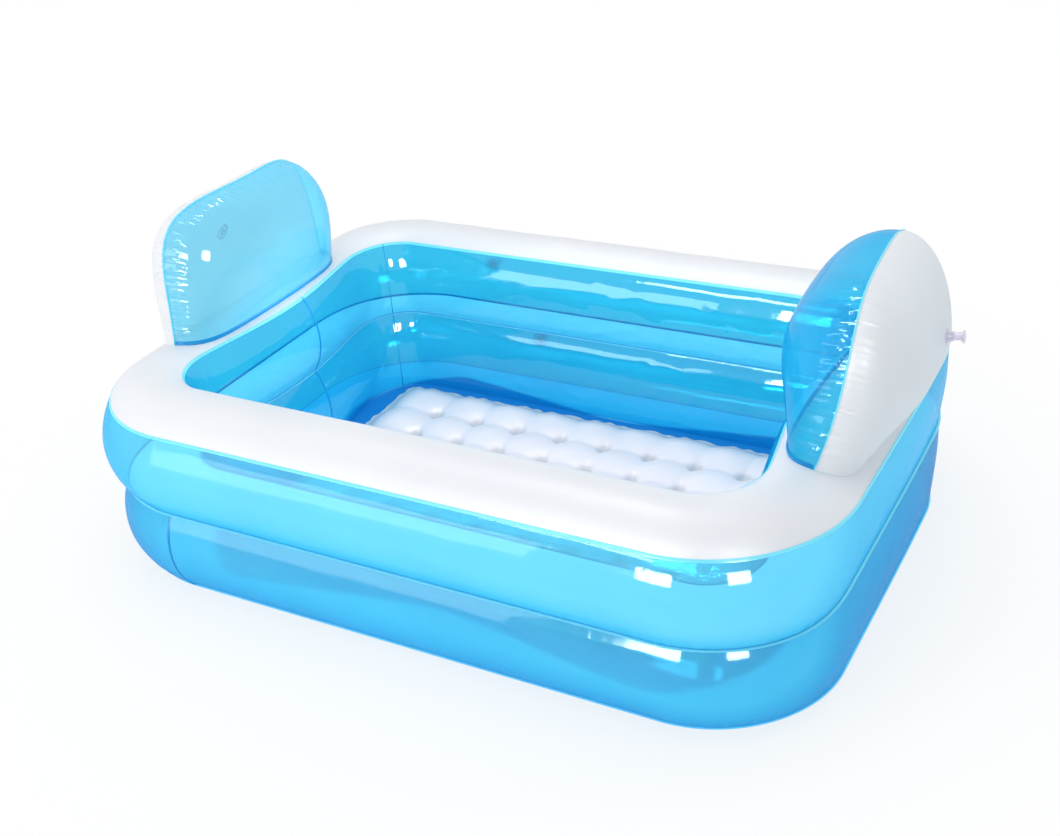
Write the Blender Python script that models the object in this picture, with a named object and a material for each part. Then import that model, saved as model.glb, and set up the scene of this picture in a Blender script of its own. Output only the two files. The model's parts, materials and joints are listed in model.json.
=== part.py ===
"""Inflatable family pool with two stacked air rings, a white rim, a bubble mat and two backrests.

Units are metres and +Z is up. The origin is on the ground under the middle of the pool.
The long sides run along X, and a backrest stands on the rim at each end.
"""

import math

import bmesh
import bpy
from mathutils import Matrix, Vector
from mathutils.bvhtree import BVHTree

# Film and clearances
FILM = 0.0005
GAP = 0.0003
WELD_FIN = 0.003
CUTTER_OVERRUN = 0.02

# Footprint, measured along the weld round the outer edge of the rim
SEAM_LENGTH = 1.500
SEAM_WIDTH = 1.034
SEAM_CORNER_RADIUS = 0.254
RIM_WIDTH_SIDE = 0.138
RIM_WIDTH_END = 0.152
RIM_END_BOW = 0.031
BOW_POWER = 1.3

# Heights of the welds above the ground
OUTER_MIDDLE_HEIGHT = 0.177
OUTER_RIM_HEIGHT = 0.346
INNER_MIDDLE_HEIGHT = 0.197
INNER_RIM_HEIGHT = 0.374

# How far the air bows each sheet out between its welds, and where the walls stand
OUTER_BULGE = 0.032
END_OUTER_BULGE = 0.010
END_MIDDLE_INSET = 0.014
END_POWER = 8
INNER_BULGE = 0.030
RIM_CROWN = 0.038
END_RIM_CROWN = 0.018
OUTER_FOOT_INSET = 0.018
INNER_FOOT_INSET = 0.004

# Inner wall strips are welded end to end here: off the middle of an end, and part way round a corner
STRIP_WELD_OFFSET = 0.041
STRIP_WELD_CORNER_STEP = 3

# Bubble mat: spot welds on a grid, with deeper cells along its edges and room left to the walls
MAT_COLUMNS = 8
MAT_ROWS = 6
MAT_PITCH_LONG_SHARE = 0.07153
MAT_PITCH_WIDE_SHARE = 0.09014
MAT_ROOM_LONG = 0.0484
MAT_ROOM_WIDE = 0.0300
MAT_MARGIN = 0.010
MAT_SHIFT = -0.0165
MAT_HEIGHT = 0.028
MAT_SADDLE_SHARE = 0.72
MAT_SCALLOP = 0.006

# Backrests: the D-shaped weld, and how far each sheet stands off it
BACKREST_INSET = 0.0962
BACKREST_HALF_WIDTH = 0.2348
BACKREST_TOP = 0.6451
BACKREST_BASE_SWEEP = 0.0166
BACKREST_BASE_SPREAD_SHARE = 0.0615
BACKREST_ROUNDNESS = 4.27
FRONT_FOOT = 0.0617
FRONT_POWER = 3.53
FRONT_PEAK_SHARE = 0.84
BACK_FOOT = 0.0672
BACK_PEAK_SHARE = 0.42
FOOT_POWER = 8

# The left backrest stands upright and bows out, and the right one leans back and is turned a little
LEFT_LEAN_DEGREES = -1.6
LEFT_BOW = -0.030
LEFT_TOP_SWEEP = 0.0383
LEFT_TURN = -0.0074
LEFT_FRONT_SWELL = 0.1164
LEFT_BACK_SWELL = 0.1423
LEFT_BACK_POWER = 2.02
RIGHT_LEAN_DEGREES = 8.1
RIGHT_BOW = 0.0379
RIGHT_TOP_SWEEP = 0.0084
RIGHT_TURN = -0.0196
RIGHT_FRONT_SWELL = 0.1465
RIGHT_BACK_SWELL = 0.1343
RIGHT_BACK_POWER = 1.71
BACKREST_VALVE_HEIGHT_SHARE = 0.48
BACKREST_VALVE_SECTOR_SHARE = 0.36
NORMAL_STEP_SHARE = 0.04

# Air valves: a soft skirt welded to the film, a stem that pushes in, a check flap and a plug
VALVE_HOLE_RADIUS = 0.0125
SKIRT_RADIUS = 0.018
SKIRT_MOUTH_RADIUS = 0.0115
SKIRT_EDGE = 0.0009
SKIRT_FILLET_RADIUS = 0.0135
SKIRT_FILLET_RISE = 0.0004
SKIRT_WALL = 0.0009
STEM_RADIUS = 0.0071
STEM_BORE_RADIUS = 0.0053
STEM_RUNNING_CLEARANCE = 0.0004
STEM_LIP_RADIUS = 0.0082
STEM_LIP_THICKNESS = 0.0014
LUG_WIDTH = 0.005
LUG_THICKNESS = 0.0024
HINGE_OFFSET = 0.0112
HINGE_DROP = 0.0014
KNUCKLE_RADIUS = 0.0009
PLUG_RADIUS = 0.0103
PLUG_THICKNESS = 0.0022
PLUG_EDGE = 0.0007
PLUG_INSERT_RADIUS = 0.0049
PLUG_INSERT_TIP_RADIUS = 0.0040
PLUG_INSERT_DEPTH = 0.0040
STRAP_THICKNESS = 0.0012
STRAP_OVERLAP = 0.0020
FLAP_RADIUS = 0.0068
FLAP_THICKNESS = 0.0006

# Heights over the film, on the ring and backrest valves and on the low valve of the mat
TALL_STEM = 0.0300
TALL_SKIRT = 0.0130
TALL_STEM_TAIL = 0.0040
LOW_STEM = 0.0180
LOW_SKIRT = 0.0080
LOW_STEM_TAIL = 0.0020

# Ring valves, from the left end of the back side's straight, and the columns of the mat before its valve
UPPER_VALVE_INSET = 0.096
LOWER_VALVE_INSET = 0.216
MAT_VALVE_COLUMNS = 2

# Facets
CORNER_STEPS = 7
END_STEPS = 6
SIDE_STEPS = 2
WALL_STEPS = 6
CROWN_STEPS = 8
BACKREST_SECTORS = 20
BACKREST_RING_SHARES = (0.35, 0.60, 0.78, 0.89, 0.955, 0.988, 1.0)
VALVE_SIDES = 16
CUTTER_SIDES = 20
KNUCKLE_SIDES = 8
SEAT_SAMPLES = 16
MIDDLE_SHARE = 0.5

# Sizes that follow from the ones above
MAT_PITCH_LONG = SEAM_LENGTH * MAT_PITCH_LONG_SHARE
MAT_PITCH_WIDE = SEAM_WIDTH * MAT_PITCH_WIDE_SHARE
MAT_REACH_LONG = SEAM_LENGTH / 2 - RIM_WIDTH_END - RIM_END_BOW - MAT_ROOM_LONG
MAT_REACH_WIDE = SEAM_WIDTH / 2 - RIM_WIDTH_SIDE - MAT_ROOM_WIDE
BACKREST_PLACE = SEAM_LENGTH / 2 - BACKREST_INSET
SIDE_STRAIGHT_START = SEAM_CORNER_RADIUS - SEAM_LENGTH / 2


def clear_scene():
    for old in list(bpy.data.objects):
        bpy.data.objects.remove(old, do_unlink=True)


def make_material(name, color, roughness, alpha=1.0):
    material = bpy.data.materials.new(name)
    material.use_nodes = True
    shader = material.node_tree.nodes["Principled BSDF"]
    shader.inputs["Base Color"].default_value = (*color, 1.0)
    shader.inputs["Roughness"].default_value = roughness
    shader.inputs["Metallic"].default_value = 0.0
    shader.inputs["Alpha"].default_value = alpha
    return material


def make_object(name, mesh, material):
    piece = bpy.data.objects.new(name, mesh)
    bpy.context.collection.objects.link(piece)
    if not mesh.materials:
        mesh.materials.append(material)
    return piece


def finish_mesh(name, bm, sharp_degrees=35.0):
    """Turn a bmesh into a mesh whose faces point out and whose round surfaces are smooth."""
    bmesh.ops.recalc_face_normals(bm, faces=bm.faces)
    mesh = bpy.data.meshes.new(name)
    bm.to_mesh(mesh)
    bm.free()
    mesh.shade_smooth()
    mesh.set_sharp_from_angle(angle=math.radians(sharp_degrees))
    return mesh


def thicken(piece):
    """Give an open sheet the thickness of the film, half to each side."""
    solidify = piece.modifiers.new("film", "SOLIDIFY")
    solidify.thickness = FILM
    solidify.offset = 0.0
    solidify.use_rim = True


def grid_sheet(name, rows, material, loop=False):
    """Open sheet through a grid of points; the rows close into a ring when loop is set."""
    bm = bmesh.new()
    verts = [[bm.verts.new(point) for point in row] for row in rows]
    last = len(rows) if loop else len(rows) - 1
    for i in range(last):
        here, there = verts[i], verts[(i + 1) % len(rows)]
        for j in range(len(here) - 1):
            bm.faces.new((here[j], there[j], there[j + 1], here[j + 1]))
    mesh = bpy.data.meshes.new(name)
    bm.to_mesh(mesh)
    bm.free()
    mesh.shade_smooth()
    piece = make_object(name, mesh, material)
    thicken(piece)
    return piece


# Footprint of the rings

def smooth_step(share):
    return share * share * (3.0 - 2.0 * share)


def end_width(y):
    """Width of the rim on an end, wider in the middle where a backrest stands."""
    reach = SEAM_WIDTH / 2 - SEAM_CORNER_RADIUS
    along = min(1.0, abs(y) / reach)
    return RIM_WIDTH_END + RIM_END_BOW * math.cos(math.pi / 2 * along) ** BOW_POWER


def corner_width(turn):
    """Width of the rim in a corner, turn being 0 at the end and 1 at the side."""
    return RIM_WIDTH_END + (RIM_WIDTH_SIDE - RIM_WIDTH_END) * smooth_step(turn)


def rim_stations():
    """Points round the outer rim weld, anticlockwise, each with its outward normal and the rim's width."""
    corner_x = SEAM_LENGTH / 2 - SEAM_CORNER_RADIUS
    corner_y = SEAM_WIDTH / 2 - SEAM_CORNER_RADIUS
    middle_share = 0.5 - STRIP_WELD_OFFSET / (2 * corner_y)
    end_shares = [k / END_STEPS for k in range(END_STEPS)]
    end_shares[END_STEPS // 2] = middle_share
    stations = []
    for side in (1, -1):
        for share in end_shares:
            y = side * corner_y * (2 * share - 1)
            stations.append((Vector((side * SEAM_LENGTH / 2, y, 0)), Vector((side, 0, 0)), end_width(y)))
        stations += corner_stations(Vector((side * corner_x, side * corner_y, 0)), side, 0)
        for k in range(SIDE_STEPS):
            x = side * corner_x * (1 - 2 * k / SIDE_STEPS)
            stations.append((Vector((x, side * SEAM_WIDTH / 2, 0)), Vector((0, side, 0)), RIM_WIDTH_SIDE))
        stations += corner_stations(Vector((-side * corner_x, side * corner_y, 0)), side, 1)
    return stations


def corner_stations(centre, side, quarter):
    found = []
    for k in range(CORNER_STEPS):
        angle = math.pi / 2 * (quarter + k / CORNER_STEPS)
        normal = side * Vector((math.cos(angle), math.sin(angle), 0))
        turn = 1 - k / CORNER_STEPS if quarter else k / CORNER_STEPS
        found.append((centre + normal * SEAM_CORNER_RADIUS, normal, corner_width(turn)))
    return found


def stations_on_half():
    """How many stations one end, one side and two corners take."""
    return END_STEPS + SIDE_STEPS + 2 * CORNER_STEPS


# Sections of the rings, as (inset from the outer rim weld, height) pairs

def arc(start, end, bulge, steps):
    """Arc from start to end that bows out by bulge to the left of the way."""
    chord = Vector(end) - Vector(start)
    length = chord.length
    along = chord / length
    across = Vector((-along.y, along.x))
    radius = (length * length / 4 + bulge * bulge) / (2 * bulge)
    half_angle = math.atan2(length / 2, radius - bulge)
    middle = (Vector(start) + Vector(end)) / 2 + across * (bulge - radius)
    points = []
    for k in range(steps + 1):
        angle = half_angle * (2 * k / steps - 1)
        points.append(middle + along * radius * math.sin(angle) + across * radius * math.cos(angle))
    return points


def trimmed(points, start_cut, end_cut):
    """Move the first and last points of a section along it, to leave room at the welds."""
    first = (points[1] - points[0]).normalized()
    last = (points[-2] - points[-1]).normalized()
    return [points[0] + first * start_cut] + points[1:-1] + [points[-1] + last * end_cut]


def foot_height():
    return FILM + GAP + FILM / 2


def outer_bulge(end_share):
    return OUTER_BULGE + (END_OUTER_BULGE - OUTER_BULGE) * end_share


def rim_crown(end_share):
    return RIM_CROWN + (END_RIM_CROWN - RIM_CROWN) * end_share


def lower_outer_section(width, end_share):
    middle = (END_MIDDLE_INSET * end_share, OUTER_MIDDLE_HEIGHT)
    points = arc((OUTER_FOOT_INSET, foot_height()), middle, outer_bulge(end_share), WALL_STEPS)
    return trimmed(points, 0, FILM + GAP)


def lower_inner_section(width, end_share):
    foot = (width - INNER_FOOT_INSET, foot_height())
    points = arc((width, INNER_MIDDLE_HEIGHT), foot, INNER_BULGE, WALL_STEPS)
    return trimmed(points, FILM + GAP, 0)


def upper_outer_section(width, end_share):
    middle = (END_MIDDLE_INSET * end_share, OUTER_MIDDLE_HEIGHT)
    points = arc(middle, (0, OUTER_RIM_HEIGHT), outer_bulge(end_share), WALL_STEPS)
    return trimmed(points, FILM + GAP, GAP / 2)


def upper_inner_section(width, end_share):
    points = arc((width, INNER_RIM_HEIGHT), (width, INNER_MIDDLE_HEIGHT), INNER_BULGE, WALL_STEPS)
    return trimmed(points, GAP / 2, FILM + GAP)


def crown_section(width, end_share):
    points = arc((0, OUTER_RIM_HEIGHT), (width, INNER_RIM_HEIGHT), rim_crown(end_share), CROWN_STEPS)
    return trimmed(points, GAP / 2, GAP / 2)


def divider_section(width, end_share):
    outer = Vector((END_MIDDLE_INSET * end_share, OUTER_MIDDLE_HEIGHT))
    inner = Vector((width, INNER_MIDDLE_HEIGHT))
    fin = (inner - outer).normalized() * WELD_FIN
    return [outer - fin, (outer + inner) / 2, inner + fin]


def swept_rows(stations, section):
    rows = []
    for point, normal, width in stations:
        spots = section(width, abs(normal.x) ** END_POWER)
        rows.append([point - normal * spot.x + Vector((0, 0, spot.y)) for spot in spots])
    return rows


def strip_between(first, last):
    """Stations of a strip that starts and ends at a weld, drawn back by half the gap at each end."""
    stations = rim_stations()
    count = len(stations)
    strip = [stations[i % count] for i in range(first, last + 1)]
    for end, inner in ((0, 1), (-1, -2)):
        point, normal, width = strip[end]
        draw = (strip[inner][0] - point).normalized() * GAP
        strip[end] = (point + draw, normal, width)
    return strip


def rim_surface_height(x, y):
    """Height of the middle of the rim's top sheet over a point on the straight of an end."""
    width = end_width(y)
    chord = Vector((width, INNER_RIM_HEIGHT - OUTER_RIM_HEIGHT))
    across = Vector((-chord.y, chord.x)).normalized()
    radius = (chord.length_squared / 4 + END_RIM_CROWN ** 2) / (2 * END_RIM_CROWN)
    middle = Vector((0, OUTER_RIM_HEIGHT)) + chord / 2 + across * (END_RIM_CROWN - radius)
    return middle.y + math.sqrt(radius ** 2 - (SEAM_LENGTH / 2 - x - middle.x) ** 2)


# Sheets of the rings and the floor

def build_ground_sheet(material):
    """Flat bottom sheet under the whole pool, out to the foot of the outer wall."""
    bm = bmesh.new()
    edge = [point - normal * (OUTER_FOOT_INSET - WELD_FIN) for point, normal, width in rim_stations()]
    face = bm.faces.new([bm.verts.new(point) for point in edge])
    grown = bmesh.ops.extrude_face_region(bm, geom=[face])
    top = [item for item in grown["geom"] if isinstance(item, bmesh.types.BMVert)]
    bmesh.ops.translate(bm, vec=Vector((0, 0, FILM)), verts=top)
    return make_object("ground_sheet", finish_mesh("ground_sheet", bm), material)


def build_rings(blue, white, clear):
    stations = rim_stations()
    half = stations_on_half()
    end_weld = half + END_STEPS // 2
    corner_weld = END_STEPS + SIDE_STEPS + CORNER_STEPS + STRIP_WELD_CORNER_STEP
    around = len(stations)
    sheets = {}
    sheets["lower_outer_wall"] = grid_sheet(
        "lower_outer_wall", swept_rows(stations, lower_outer_section), blue, loop=True)
    sheets["upper_outer_wall"] = grid_sheet(
        "upper_outer_wall", swept_rows(stations, upper_outer_section), blue, loop=True)
    for level, section in (("lower", lower_inner_section), ("upper", upper_inner_section)):
        short_name = level + "_inner_wall_short"
        long_name = level + "_inner_wall_long"
        sheets[short_name] = grid_sheet(
            short_name, swept_rows(strip_between(corner_weld, end_weld), section), blue)
        sheets[long_name] = grid_sheet(
            long_name, swept_rows(strip_between(end_weld, corner_weld + around), section), blue)
    sheets["ring_divider"] = grid_sheet(
        "ring_divider", swept_rows(stations, divider_section), clear, loop=True)
    sheets["rim_top_sheet"] = grid_sheet(
        "rim_top_sheet", swept_rows(stations, crown_section), white, loop=True)
    return sheets


def mat_lines(count, pitch, reach):
    """Places of the weld lines along one way of the mat, with the mat's two edges outside them."""
    inner = [(k - (count - 1) / 2) * pitch for k in range(count)]
    return [-reach] + inner + [reach]


def halved(lines):
    """The lines and the middles between them, so that every other value is a weld line."""
    places = []
    for here, there in zip(lines, lines[1:]):
        places += [here, (here + there) / 2]
    return places + [lines[-1]]


def mat_height_share(i, j, last_i, last_j):
    """Height of the mat at a grid point: none at a spot weld or the edge, full in a cell's middle."""
    if i in (0, last_i) or j in (0, last_j):
        return 0.0
    if i % 2 == 0 and j % 2 == 0:
        return 0.0
    if i % 2 == 1 and j % 2 == 1:
        return 1.0
    return MAT_SADDLE_SHARE


def build_bubble_mat(material):
    """Top sheet of the mat, spot welded down to the ground sheet between its bubbles."""
    xs = halved(mat_lines(MAT_COLUMNS, MAT_PITCH_LONG, MAT_REACH_LONG))
    ys = halved(mat_lines(MAT_ROWS, MAT_PITCH_WIDE, MAT_REACH_WIDE))
    last_i, last_j = len(xs) - 1, len(ys) - 1
    rows = []
    for i, x in enumerate(xs):
        row = []
        for j, y in enumerate(ys):
            draw_x = math.copysign(MAT_SCALLOP, x) if i in (0, last_i) and j % 2 == 0 else 0
            draw_y = math.copysign(MAT_SCALLOP, y) if j in (0, last_j) and i % 2 == 0 else 0
            z = foot_height() + MAT_HEIGHT * mat_height_share(i, j, last_i, last_j)
            row.append(Vector((x - draw_x + MAT_SHIFT, y - draw_y, z)))
        rows.append(row)
    rows = [margin_row(rows[0], -MAT_MARGIN)] + rows + [margin_row(rows[-1], MAT_MARGIN)]
    rows = [margin_point(row[0], -MAT_MARGIN) + row + margin_point(row[-1], MAT_MARGIN) for row in rows]
    return grid_sheet("bubble_mat", rows, material)


def margin_row(row, out):
    return [Vector((point.x + out, point.y, foot_height())) for point in row]


def margin_point(point, out):
    return [Vector((point.x, point.y + out, foot_height()))]


# Backrests

def backrest_point(side, face, ring_share, sector_share):
    """Point of a backrest sheet: side is 1 on the right end, face is -1 on the sheet that faces the basin.

    ring_share runs from the middle of the base to the D-shaped weld, sector_share round the D.
    """
    angle = math.pi * sector_share
    cosine, sine = math.cos(angle), abs(math.sin(angle))
    reach = (abs(cosine) ** BACKREST_ROUNDNESS + sine ** BACKREST_ROUNDNESS) ** (-1 / BACKREST_ROUNDNESS)
    return backrest_surface(side, face, ring_share, ring_share * reach * cosine, ring_share * reach * sine)


def backrest_form(side):
    """Lean, bow, sweep, turn and swells of the backrest on one end."""
    if side > 0:
        return {"lean": RIGHT_LEAN_DEGREES, "bow": RIGHT_BOW, "sweep": RIGHT_TOP_SWEEP, "turn": RIGHT_TURN,
                "front_swell": RIGHT_FRONT_SWELL,
                "back_swell": RIGHT_BACK_SWELL, "back_power": RIGHT_BACK_POWER}
    return {"lean": LEFT_LEAN_DEGREES, "bow": LEFT_BOW, "sweep": LEFT_TOP_SWEEP, "turn": LEFT_TURN,
            "front_swell": LEFT_FRONT_SWELL,
            "back_swell": LEFT_BACK_SWELL, "back_power": LEFT_BACK_POWER}


def backrest_surface(side, face, ring_share, across, up):
    """Point of a backrest sheet at shares of the half width and of the height."""
    form = backrest_form(side)
    swell, power, peak, foot = form["front_swell"], FRONT_POWER, FRONT_PEAK_SHARE, FRONT_FOOT
    if face > 0:
        swell, power, peak, foot = form["back_swell"], form["back_power"], BACK_PEAK_SHARE, BACK_FOOT
    swell *= math.sqrt(max(0.0, 1 - ring_share ** power))
    foot *= math.sqrt(max(0.0, 1 - ring_share ** FOOT_POWER))
    rise = math.sin(math.pi / 2 * min(1.0, up / peak))
    weld = (GAP + FILM) / 2
    sweep = BACKREST_BASE_SWEEP + (form["sweep"] - BACKREST_BASE_SWEEP) * up
    base = BACKREST_PLACE + sweep * across ** 2
    y = BACKREST_HALF_WIDTH * across * (1 + BACKREST_BASE_SPREAD_SHARE * (1 - up) ** 2)
    seat = rim_surface_height(base + face * (foot + weld), y) + FILM + GAP
    tall = BACKREST_TOP - seat
    drift = tall * up * math.tan(math.radians(form["lean"])) + form["bow"] * up * (1 - up)
    x = base + drift + form["turn"] * across * up + face * (foot + (swell - foot) * rise + weld)
    return Vector((side * x, y, seat + tall * up))


def backrest_valve_place(side):
    """Point of a backrest's back sheet where its valve stands, and the way out of the film there."""
    share, sector, step = BACKREST_VALVE_HEIGHT_SHARE, BACKREST_VALVE_SECTOR_SHARE, NORMAL_STEP_SHARE
    rise = backrest_point(side, 1, share + step, sector) - backrest_point(side, 1, share - step, sector)
    way = backrest_point(side, 1, share, sector - step) - backrest_point(side, 1, share, sector + step)
    return backrest_point(side, 1, share, sector), side * way.cross(rise).normalized()


def build_backrest_sheet(name, side, face, material):
    """Sheet over half a backrest, as rings of facets round the middle of its base."""
    bm = bmesh.new()
    hub = bm.verts.new(backrest_point(side, face, 0.0, MIDDLE_SHARE))
    rings = []
    for ring_share in BACKREST_RING_SHARES:
        rings.append([bm.verts.new(backrest_point(side, face, ring_share, k / BACKREST_SECTORS))
                      for k in range(BACKREST_SECTORS + 1)])
    for k in range(BACKREST_SECTORS):
        bm.faces.new((hub, rings[0][k], rings[0][k + 1]))
        for inner, outer in zip(rings, rings[1:]):
            bm.faces.new((inner[k], outer[k], outer[k + 1], inner[k + 1]))
    mesh = bpy.data.meshes.new(name)
    bm.to_mesh(mesh)
    bm.free()
    mesh.shade_smooth()
    piece = make_object(name, mesh, material)
    thicken(piece)
    return piece


# Valves: local +Z points out of the film and the plug's strap is on the -X side

def turned(bm, profile, sides, centre=(0, 0)):
    """Turn a closed (radius, height) outline about the Z axis; a point of radius zero is on the axis."""
    rings = []
    for radius, height in profile:
        if radius == 0:
            rings.append([bm.verts.new((centre[0], centre[1], height))])
            continue
        ring = []
        for k in range(sides):
            angle = 2 * math.pi * k / sides
            ring.append(bm.verts.new((centre[0] + radius * math.cos(angle),
                                      centre[1] + radius * math.sin(angle), height)))
        rings.append(ring)
    for here, there in zip(rings, rings[1:] + rings[:1]):
        if len(here) == 1 and len(there) == 1:
            continue
        for k in range(sides):
            corners = [here[k % len(here)], there[k % len(there)],
                       there[(k + 1) % len(there)], here[(k + 1) % len(here)]]
            bm.faces.new(list(dict.fromkeys(corners)))


def block(bm, low, high):
    """Axis-aligned block between two corners."""
    size = Vector(high) - Vector(low)
    middle = (Vector(high) + Vector(low)) / 2
    made = bmesh.ops.create_cube(bm, size=1)
    bmesh.ops.scale(bm, vec=size, verts=made["verts"])
    bmesh.ops.translate(bm, vec=middle, verts=made["verts"])


def united(name, builders):
    """Mesh that is the union of several closed shapes, each made by its own builder."""
    pieces = []
    for k, build in enumerate(builders):
        bm = bmesh.new()
        build(bm)
        part_name = f"{name}_shape_{k}"
        pieces.append(bpy.data.objects.new(part_name, finish_mesh(part_name, bm)))
        bpy.context.collection.objects.link(pieces[-1])
    for extra in pieces[1:]:
        union = pieces[0].modifiers.new("union", "BOOLEAN")
        union.operation = "UNION"
        union.solver = "EXACT"
        union.object = extra
    depsgraph = bpy.context.evaluated_depsgraph_get()
    depsgraph.update()
    mesh = bpy.data.meshes.new_from_object(pieces[0].evaluated_get(depsgraph))
    mesh.name = name
    for piece in pieces:
        bpy.data.objects.remove(piece, do_unlink=True)
    return mesh


def skirt_mesh(name, height):
    neck = STEM_RADIUS + STEM_RUNNING_CLEARANCE
    bm = bmesh.new()
    turned(bm, [
        (SKIRT_MOUTH_RADIUS, 0),
        (SKIRT_RADIUS, 0),
        (SKIRT_RADIUS, SKIRT_EDGE),
        (SKIRT_FILLET_RADIUS, SKIRT_EDGE + SKIRT_FILLET_RISE),
        (neck + SKIRT_WALL, height),
        (neck, height),
    ], VALVE_SIDES)
    return finish_mesh(name, bm)


def stem_mesh(name, height, tail):
    """Tube with a lip at its mouth and a lug below it for the plug's strap."""
    def tube(bm):
        turned(bm, [
            (STEM_BORE_RADIUS, -tail),
            (STEM_RADIUS, -tail),
            (STEM_RADIUS, height - STEM_LIP_THICKNESS),
            (STEM_LIP_RADIUS, height - STEM_LIP_THICKNESS),
            (STEM_LIP_RADIUS, height),
            (STEM_BORE_RADIUS, height),
        ], VALVE_SIDES)

    def lug(bm):
        top = height - HINGE_DROP - KNUCKLE_RADIUS - GAP
        root = (STEM_BORE_RADIUS + STEM_RADIUS) / 2
        block(bm, (-HINGE_OFFSET + GAP, -LUG_WIDTH / 2, top - LUG_THICKNESS),
              (-root, LUG_WIDTH / 2, top))

    return united(name, [tube, lug])


def plug_mesh(name):
    """Plug with its strap; the origin is on the knuckle's axis, HINGE_DROP below the stem's mouth."""
    under = HINGE_DROP + GAP

    def head(bm):
        turned(bm, [
            (0, under - PLUG_INSERT_DEPTH),
            (PLUG_INSERT_TIP_RADIUS, under - PLUG_INSERT_DEPTH),
            (PLUG_INSERT_RADIUS, under),
            (PLUG_RADIUS, under),
            (PLUG_RADIUS, under + PLUG_THICKNESS - PLUG_EDGE),
            (PLUG_RADIUS - PLUG_EDGE, under + PLUG_THICKNESS),
            (0, under + PLUG_THICKNESS),
        ], VALVE_SIDES, centre=(HINGE_OFFSET, 0))

    def strap(bm):
        edge = HINGE_OFFSET - PLUG_RADIUS
        block(bm, (-KNUCKLE_RADIUS, -LUG_WIDTH / 2, under),
              (edge + STRAP_OVERLAP, LUG_WIDTH / 2, under + STRAP_THICKNESS))

    def knuckle(bm):
        turned(bm, [(0, -LUG_WIDTH / 2), (KNUCKLE_RADIUS, -LUG_WIDTH / 2),
                    (KNUCKLE_RADIUS, LUG_WIDTH / 2), (0, LUG_WIDTH / 2)], KNUCKLE_SIDES)
        bmesh.ops.rotate(bm, matrix=Matrix.Rotation(math.pi / 2, 3, "X"), verts=bm.verts)

    def web(bm):
        block(bm, (-KNUCKLE_RADIUS, -LUG_WIDTH / 2, 0), (0, LUG_WIDTH / 2, under + STRAP_THICKNESS / 2))

    return united(name, [head, strap, knuckle, web])


def flap_mesh(name):
    """Check flap, with its hinge edge at the origin and the disc below it on the -X side."""
    bm = bmesh.new()
    turned(bm, [(0, -FLAP_THICKNESS), (FLAP_RADIUS, -FLAP_THICKNESS), (FLAP_RADIUS, 0), (0, 0)],
           VALVE_SIDES, centre=(-FLAP_RADIUS, 0))
    return finish_mesh(name, bm)


def film_height(piece, anchor, axis, reach):
    """How far the film stands out along axis, beyond the anchor, anywhere under a valve's skirt."""
    depsgraph = bpy.context.evaluated_depsgraph_get()
    tree = BVHTree.FromObject(piece, depsgraph)
    across = axis.orthogonal().normalized()
    highest = -reach
    for radius in (VALVE_HOLE_RADIUS, SKIRT_RADIUS):
        for k in range(SEAT_SAMPLES):
            spoke = Matrix.Rotation(2 * math.pi * k / SEAT_SAMPLES, 3, axis) @ across
            start = anchor + spoke * radius + axis * reach
            hit, normal, index, distance = tree.ray_cast(start, -axis, 2 * reach)
            if hit is not None:
                highest = max(highest, reach - distance)
    return highest


def cut_valve_hole(piece, name, anchor, axis):
    """Round hole through a sheet, made by a hidden cutter."""
    bm = bmesh.new()
    turned(bm, [(0, -CUTTER_OVERRUN), (VALVE_HOLE_RADIUS, -CUTTER_OVERRUN),
                (VALVE_HOLE_RADIUS, CUTTER_OVERRUN), (0, CUTTER_OVERRUN)], CUTTER_SIDES)
    cutter_name = name + "_hole_cutter"
    cutter = bpy.data.objects.new(cutter_name, finish_mesh(cutter_name, bm))
    bpy.context.collection.objects.link(cutter)
    cutter.matrix_world = valve_frame(anchor, axis, axis.orthogonal())
    cutter.hide_render = True
    cutter.display_type = "WIRE"
    cut = piece.modifiers.new("valve_hole", "BOOLEAN")
    cut.operation = "DIFFERENCE"
    cut.solver = "EXACT"
    cut.object = cutter


def valve_frame(origin, axis, strap_side):
    """Placement whose +Z is the valve's axis and whose -X points to the strap."""
    z = axis.normalized()
    x = -(strap_side - z * strap_side.dot(z)).normalized()
    y = z.cross(x)
    frame = Matrix((x, y, z)).transposed().to_4x4()
    frame.translation = origin
    return frame


def build_valve(name, sheet, anchor, axis, strap_side, meshes, materials):
    """Skirt, stem, plug and flap of one valve, seated on the highest film under its skirt."""
    anchor, axis, strap_side = Vector(anchor), Vector(axis), Vector(strap_side)
    seat = anchor + axis * (film_height(sheet, anchor, axis, CUTTER_OVERRUN) + GAP)
    cut_valve_hole(sheet, name, seat, axis)
    frame = valve_frame(seat, axis, strap_side)
    skirt = make_object(name + "_skirt", meshes["skirt"], materials["soft"])
    skirt.matrix_world = frame
    stem = make_object(name + "_stem", meshes["stem"], materials["firm"])
    stem.matrix_world = frame
    plug = make_object(name + "_plug", meshes["plug"], materials["firm"])
    plug.parent = stem
    plug.location = (-HINGE_OFFSET, 0, meshes["height"] - HINGE_DROP)
    flap = make_object(name + "_flap", meshes["flap"], materials["soft"])
    flap.parent = stem
    flap.location = (FLAP_RADIUS, 0, -meshes["tail"] - GAP)


def wall_middle(section):
    """Inset and height of the point of a wall that stands out furthest."""
    points = section(RIM_WIDTH_SIDE, 0)
    return min(points, key=lambda spot: spot.x)


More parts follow.
